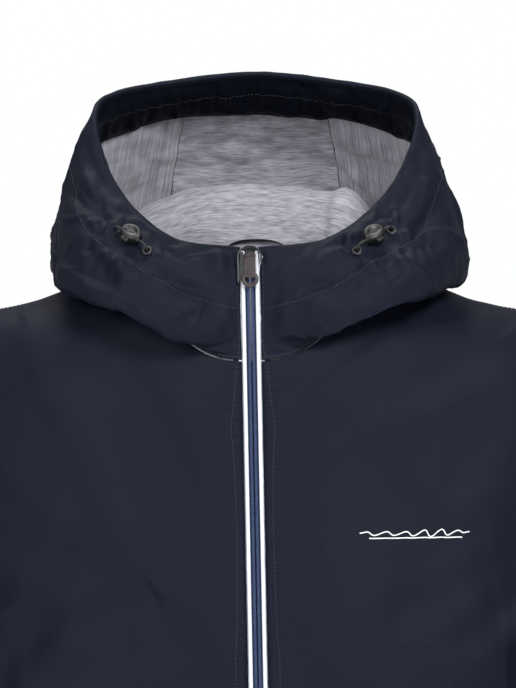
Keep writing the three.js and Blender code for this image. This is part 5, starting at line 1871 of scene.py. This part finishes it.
@dataclass
class MainZip:
    """The front zip: tapes, coils, white pipings, end box, stops, slider and garage.

    Attributes:
        tape: Inner and outer edge of a tape, in millimetres.
        pitch: Distance between coil teeth.
        piping: Radius of a piping's cord.
        box: Length of the end box.
    """

    tape: tuple[float, float] = (0.9, 14.0)
    pitch: float = 1.5
    piping: float = 1.5
    box: float = 14.0

    def __post_init__(self) -> None:
        """Works out the zip's frame and bottom."""
        self.frame = zip_frame()
        self.bottom = -(BODY_LENGTH + ZIP_TOP[2]) * math.hypot(1, ZIP_LEAN, ZIP_DRIFT) + 4

    def build(self) -> None:
        """Makes the zip."""
        for side, word in SIDES:
            self.half(side, word)
        self.end_box()
        self.garage()
        Slider("zip", ("main_slider", "main_puller"), self.frame, -2, 25).build()

    def half(self, side: int, word: str) -> None:
        """Makes one side's tape, coil, piping and top stop."""

        def place(a: Array, b: Array) -> Array:
            x = side * (self.tape[0] + (self.tape[1] - self.tape[0]) * a)
            return self.frame.at(x, 2.5, self.bottom + (-1 - self.bottom) * b)

        tape = Cloth(f"tape_{word}", place, (14, 300), side, Look.TAPE, 0, 0.6)
        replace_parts(tape.build(), f"zip_tape_{word}")
        coil(f"coil_{word}", self.frame, side, (self.bottom + self.box + 0.3, -5.8), self.pitch, f"zip_coil_{word}")
        bm = bmesh.new()
        middle = Matrix.Translation((side * PIPING_X, self.piping - 1, (self.bottom - 1) / 2))
        bmesh.ops.create_cone(bm, cap_ends=True, segments=20, radius1=self.piping - 0.05,
                              radius2=self.piping - 0.05, depth=-1 - self.bottom, matrix=middle)
        strip = [(side * 5.6, self.bottom), (side * 10, self.bottom), (side * 10, -1), (side * 5.6, -1)]
        slab(bm, strip, (1.75, 2.15), 0)
        bmesh.ops.recalc_face_normals(bm, faces=bm.faces[:])
        bmesh.ops.transform(bm, matrix=self.frame.matrix(), verts=bm.verts[:])
        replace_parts(shown(f"piping_cord_{word}", bm, Look.PIPING), f"piping_{word}")
        bm = bmesh.new()
        low, high = sorted((side * 0.9, side * 2.9))
        slab(bm, [(low, -5.5), (high, -5.5), (high, -3), (low, -3)], (0.7, 2.9), 0.3)
        bmesh.ops.transform(bm, matrix=self.frame.matrix(), verts=bm.verts[:])
        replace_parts(shown(f"stop_{word}", bm, Look.STEEL, BODY, False), f"zip_stop_{word}")

    def end_box(self) -> None:
        """Makes the pin on one side and the box that holds it."""
        for name, node, x, y in (
            ("zip_foot_pin", "zip_pin", (0.9, 2.9), (0.8, 2.8)),
            ("zip_foot_box", "zip_retainer", (-2.9, 0.6), (0.4, 3.2)),
        ):
            bm = bmesh.new()
            low, high = self.bottom, self.bottom + self.box
            slab(bm, [(x[0], low), (x[1], low), (x[1], high), (x[0], high)], y, 0.35)
            bmesh.ops.transform(bm, matrix=self.frame.matrix(), verts=bm.verts[:])
            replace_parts(shown(name, bm, Look.GUNMETAL, BODY, False), node)

    def garage(self) -> None:
        """Makes the bound arch over the slider's top."""
        outer, inner, middle, depth = 9.6, 8.2, -6.0, 3.4
        bm = bmesh.new()
        left = [(-outer, -26.0), *arc((0, middle), outer, 180, 0, 25), (outer, -10.0)]
        right = [(inner, -10.0), *arc((0, middle), inner, 0, 180, 25), (-inner, -26.0)]
        slab(bm, left + right, (-depth - 0.3, -0.3), 0.45)
        slab(bm, arc((0, middle), inner + 0.3, 151, 29, 16), (0.2, 1.2), 0)
        slab(bm, [(-outer + 0.4, -24.0), (-4.9, -23.0), (-4.9, -1.5), (-inner + 0.8, -2.6)], (-3.6, -1.25), 0.3)
        bmesh.ops.transform(bm, matrix=self.frame.matrix(), verts=bm.verts[:])
        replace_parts(shown("garage_binding", bm, Look.BINDING), "zip_garage")
        edge = np.array(arc((0, middle), outer - 0.5, 180, 40, 40))
        edge = np.concatenate([[[-outer + 0.5, -25.0]], [[-outer + 0.5, -16.0]], edge])
        points = self.frame.at(edge[:, 0], -depth - 0.35, edge[:, 1])
        out = np.broadcast_to(-self.frame.inwards, points.shape)
        stitches("stitching_garage", [(in_frame(points), out)], Look.GREY_THREAD, 0.0011, 0.0011, 0.0003)


@dataclass
class Pockets:
    """The zipped hand pockets: tapes, coils, welts, bags and sliders.

    Attributes:
        tape_inner: Inner edge of a tape, in millimetres.
        pitch: Distance between coil teeth.
        welt: Where each welt's folded edge and sewn edge are from the slot's middle.
    """

    tape_inner: float = 0.9
    pitch: float = 1.5
    welt: tuple[float, float] = (5.0, 10.5)

    def build(self) -> None:
        """Makes both pockets."""
        for side, word in SIDES:
            slot = PocketSlot(side)
            frame, length = slot.frame, slot.length
            tapes = []
            for edge, part in ((-1, "inner"), (1, "outer")):

                def tape(a: Array, b: Array, edge: int = edge) -> Array:
                    return frame.at(edge * (self.tape_inner + (7 - self.tape_inner) * a), 0.6, -length * (1 - b))

                def welt(a: Array, b: Array, edge: int = edge) -> Array:
                    x = self.welt[0] + (self.welt[1] - self.welt[0]) * a
                    y = 0.5 - 1.7 * np.sin(np.pi * a) ** 0.5 - 0.6 * a
                    return frame.at(edge * x, y, 3 - (length + 6) * (1 - b))

                tapes.append(Cloth(f"pocket_tape_{part}_{word}", tape, (8, 90), edge, Look.TAPE, 0, 0.5).build())
                strip = Cloth(f"pocket_welt_{part}_{word}", welt, (14, 110), edge, Look.SHELL, 0, 0.5)
                strip.build()
                coil(f"pocket_coil_{part}_{word}", frame, edge, (-length + 3.5, -2.0), self.pitch)
                line = np.linspace(0.01, 0.99, 200)
                rows = [strip.row(np.full(200, 0.8), line)]
                stitches(f"stitching_pocket_{part}_{word}", rows, Look.SEAM_THREAD)
            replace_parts(tapes[0], f"pocket_zip_{word}")
            self.bag(side, word)
            bodies = (f"pocket_slider_{word}", f"pocket_puller_{word}")
            Slider(f"pocket_{word}", bodies, frame, -1, 21).build()

    @staticmethod
    def bag(side: int, word: str) -> None:
        """Makes the pocket's bag, between shell and lining."""

        def place(a: Array, b: Array) -> Array:
            return torso(side, 24 + 16 * a, 0.064 + 0.191 * b)

        bag = Cloth(f"pocket_pouch_{word}", place, (40, 40), side, Look.POCKET_CLOTH, MIDDLE_DEPTH, 0.8)
        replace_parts(bag.build(), f"pocket_bag_{word}")


@dataclass
class ChestMotif:
    """A plain wave worked in satin stitch on the wearer's left chest.

    Attributes:
        first: Torso angle of its inner end.
        wide: Angle that it spans.
        level: Torso level of its inner end.
        fall: How far the level falls along it, which keeps it horizontal.
        waves: Number of waves.
        swing: Height of the waves, as torso level.
    """

    first: float = 14.5
    wide: float = 24.0
    level: float = 0.4945
    fall: float = 0.019
    waves: int = 6
    swing: float = 0.0052

    def build(self) -> None:
        """Makes the motif."""
        cloth = BodyShell().front(1, "left")
        s = np.linspace(0, 1, 900)
        phase = 2 * np.pi * self.waves * s
        swell = np.sin(np.pi * s) ** 0.5 * (0.75 + 0.25 * np.cos(2 * np.pi * s * 1.5))
        deg = self.first + self.wide * (s + 0.012 * np.sin(phase * 1.0))
        level = self.level - self.fall * s
        crest = level + self.swing * swell * np.sin(phase)
        under = level - self.swing * 1.5 + self.swing * 0.25 * np.sin(np.pi * s)
        rows = [self.on(cloth, deg, crest), self.on(cloth, deg[60:-60], under[60:-60])]
        piece = stitches("chest_wave", rows, Look.THREAD, 0.00042, 0.0012, 0.00027, across=True)
        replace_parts(piece, "chest_embroidery")

    @staticmethod
    def on(cloth: Cloth, deg: Array, level: Array) -> tuple[Array, Array]:
        """A line at torso angles and levels, laid on the front panel's own folds."""
        turn = np.arccos(np.clip((0.5 - level) * 6, -1, 1))
        bite = ARMHOLE_BITE * np.sin(turn)
        return cloth.row(deg / (90 - bite - 0.1), (4 + turn / np.pi * 6) / 13, 0.35)


@dataclass
class HiddenTrim:
    """CAD pieces whose shape is right and which only get their finish."""

    finishes: tuple[tuple[str, Look], ...] = (
        ("hood_drawcord", Look.CORD),
        ("cord_lock_spring_left", Look.STEEL),
        ("cord_lock_spring_right", Look.STEEL),
    )

    def dress(self, frame: dict) -> None:
        """Gives each node its finish."""
        for node, look in self.finishes:
            piece = frame["nodes"][node]
            piece.data.materials.clear()
            piece.data.materials.append(look.material())
            LOG.info("%s: kept, in %s", node, look.name.lower())


# ---------------------------------------------------------------------------------------------------
# Studio


@dataclass
class Studio:
    """Pale floor, soft lights and the camera.

    Attributes:
        distance: From the camera to the jacket's middle plane, in metres.
        view_height: Height of what the camera sees there.
        aim: The point that it looks at.
        elevation: Its angle above the horizon, in degrees.
        drop: How far the floor lies under the hem.
        ambient: Strength of the light that comes from all round.
    """

    distance: float = 4.2
    view_height: float = 0.530
    aim: tuple[float, float, float] = (0.0015, -0.13, -0.0807)
    elevation: float = 1.0
    drop: float = 0.06
    ambient: float = 0.30

    def camera(self) -> None:
        """Makes the camera."""
        data = bpy.data.cameras.new("camera")
        data.sensor_width = 36
        data.lens = data.sensor_width * self.distance / self.view_height
        data.clip_end = 100
        camera = bpy.data.objects.new("camera", data)
        tilt = math.radians(self.elevation)
        back = Vector((0, -math.cos(tilt), math.sin(tilt)))
        camera.location = Vector(self.aim) + back * self.distance
        camera.rotation_euler = (math.pi / 2 - tilt, 0, 0)
        bpy.context.scene.collection.objects.link(camera)
        bpy.context.scene.camera = camera

    def build(self, floor_z: float) -> None:
        """Makes the floor and the lights."""
        bm = bmesh.new()
        bmesh.ops.create_circle(bm, cap_ends=True, segments=96, radius=30)
        bmesh.ops.translate(bm, vec=(0, 0, floor_z - self.drop), verts=bm.verts[:])
        mesh = bpy.data.meshes.new("floor")
        bm.to_mesh(mesh)
        bm.free()
        floor = bpy.data.objects.new("floor", mesh)
        bpy.context.scene.collection.objects.link(floor)
        pale = Shader("pale_floor")
        share = pale.noise(pale.place(by_map=False), 1.5, 2)
        colour = pale.mixed(share, (0.86, 0.86, 0.86), (0.9, 0.9, 0.9))
        mesh.materials.append(pale.finish(Base_Color=colour, Roughness=0.9, Emission_Color=(1, 1, 1, 1),
                                          Emission_Strength=0.22))
        floor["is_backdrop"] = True
        bpy.context.scene.view_settings.view_transform = "Standard"
        world = bpy.data.worlds.new("studio")
        bpy.context.scene.world = world
        world.use_nodes = True
        tree = world.node_tree
        sky = tree.nodes["Background"].inputs
        sky["Color"].default_value = (1, 1, 1, 1)
        seen = tree.nodes.new("ShaderNodeLightPath").outputs["Is Camera Ray"]
        level = tree.nodes.new("ShaderNodeMapRange")
        level.inputs["To Min"].default_value = self.ambient
        tree.links.new(seen, level.inputs["Value"])
        tree.links.new(level.outputs["Result"], sky["Strength"])
        self.light("key", (1.5, -2.8, 1.8), 0.9, 130)
        self.light("fill", (-1.8, -2.8, 1.0), 1.4, 62)
        self.light("top", (-0.3, 0.6, 2.2), 1.6, 42)

    def light(self, name: str, place: tuple[float, float, float], size: float, power: float) -> None:
        """Adds a soft square light that faces the jacket."""
        data = bpy.data.lights.new(name, "AREA")
        data.size, data.energy = size, power
        lamp = bpy.data.objects.new(name, data)
        lamp.location = place
        lamp.rotation_euler = (Vector(self.aim) - Vector(place)).to_track_quat("-Z", "Y").to_euler()
        bpy.context.scene.collection.objects.link(lamp)


def main() -> None:
    """Builds the jacket's looks round the frame."""
    logging.basicConfig(level=logging.INFO, format="%(name)s %(message)s")
    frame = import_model()
    low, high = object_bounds()
    studio = Studio()
    studio.camera()
    for side, word in SIDES:
        CordGear(side, word).build()
    BodyShell().build()
    BodyInside().build()
    Sleeves().build()
    HoodCloth().build()
    MainZip().build()
    Pockets().build()
    ChestMotif().build()
    HiddenTrim().dress(frame)
    studio.build(low[2])
    low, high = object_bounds()


if __name__ == "__main__":
    main()
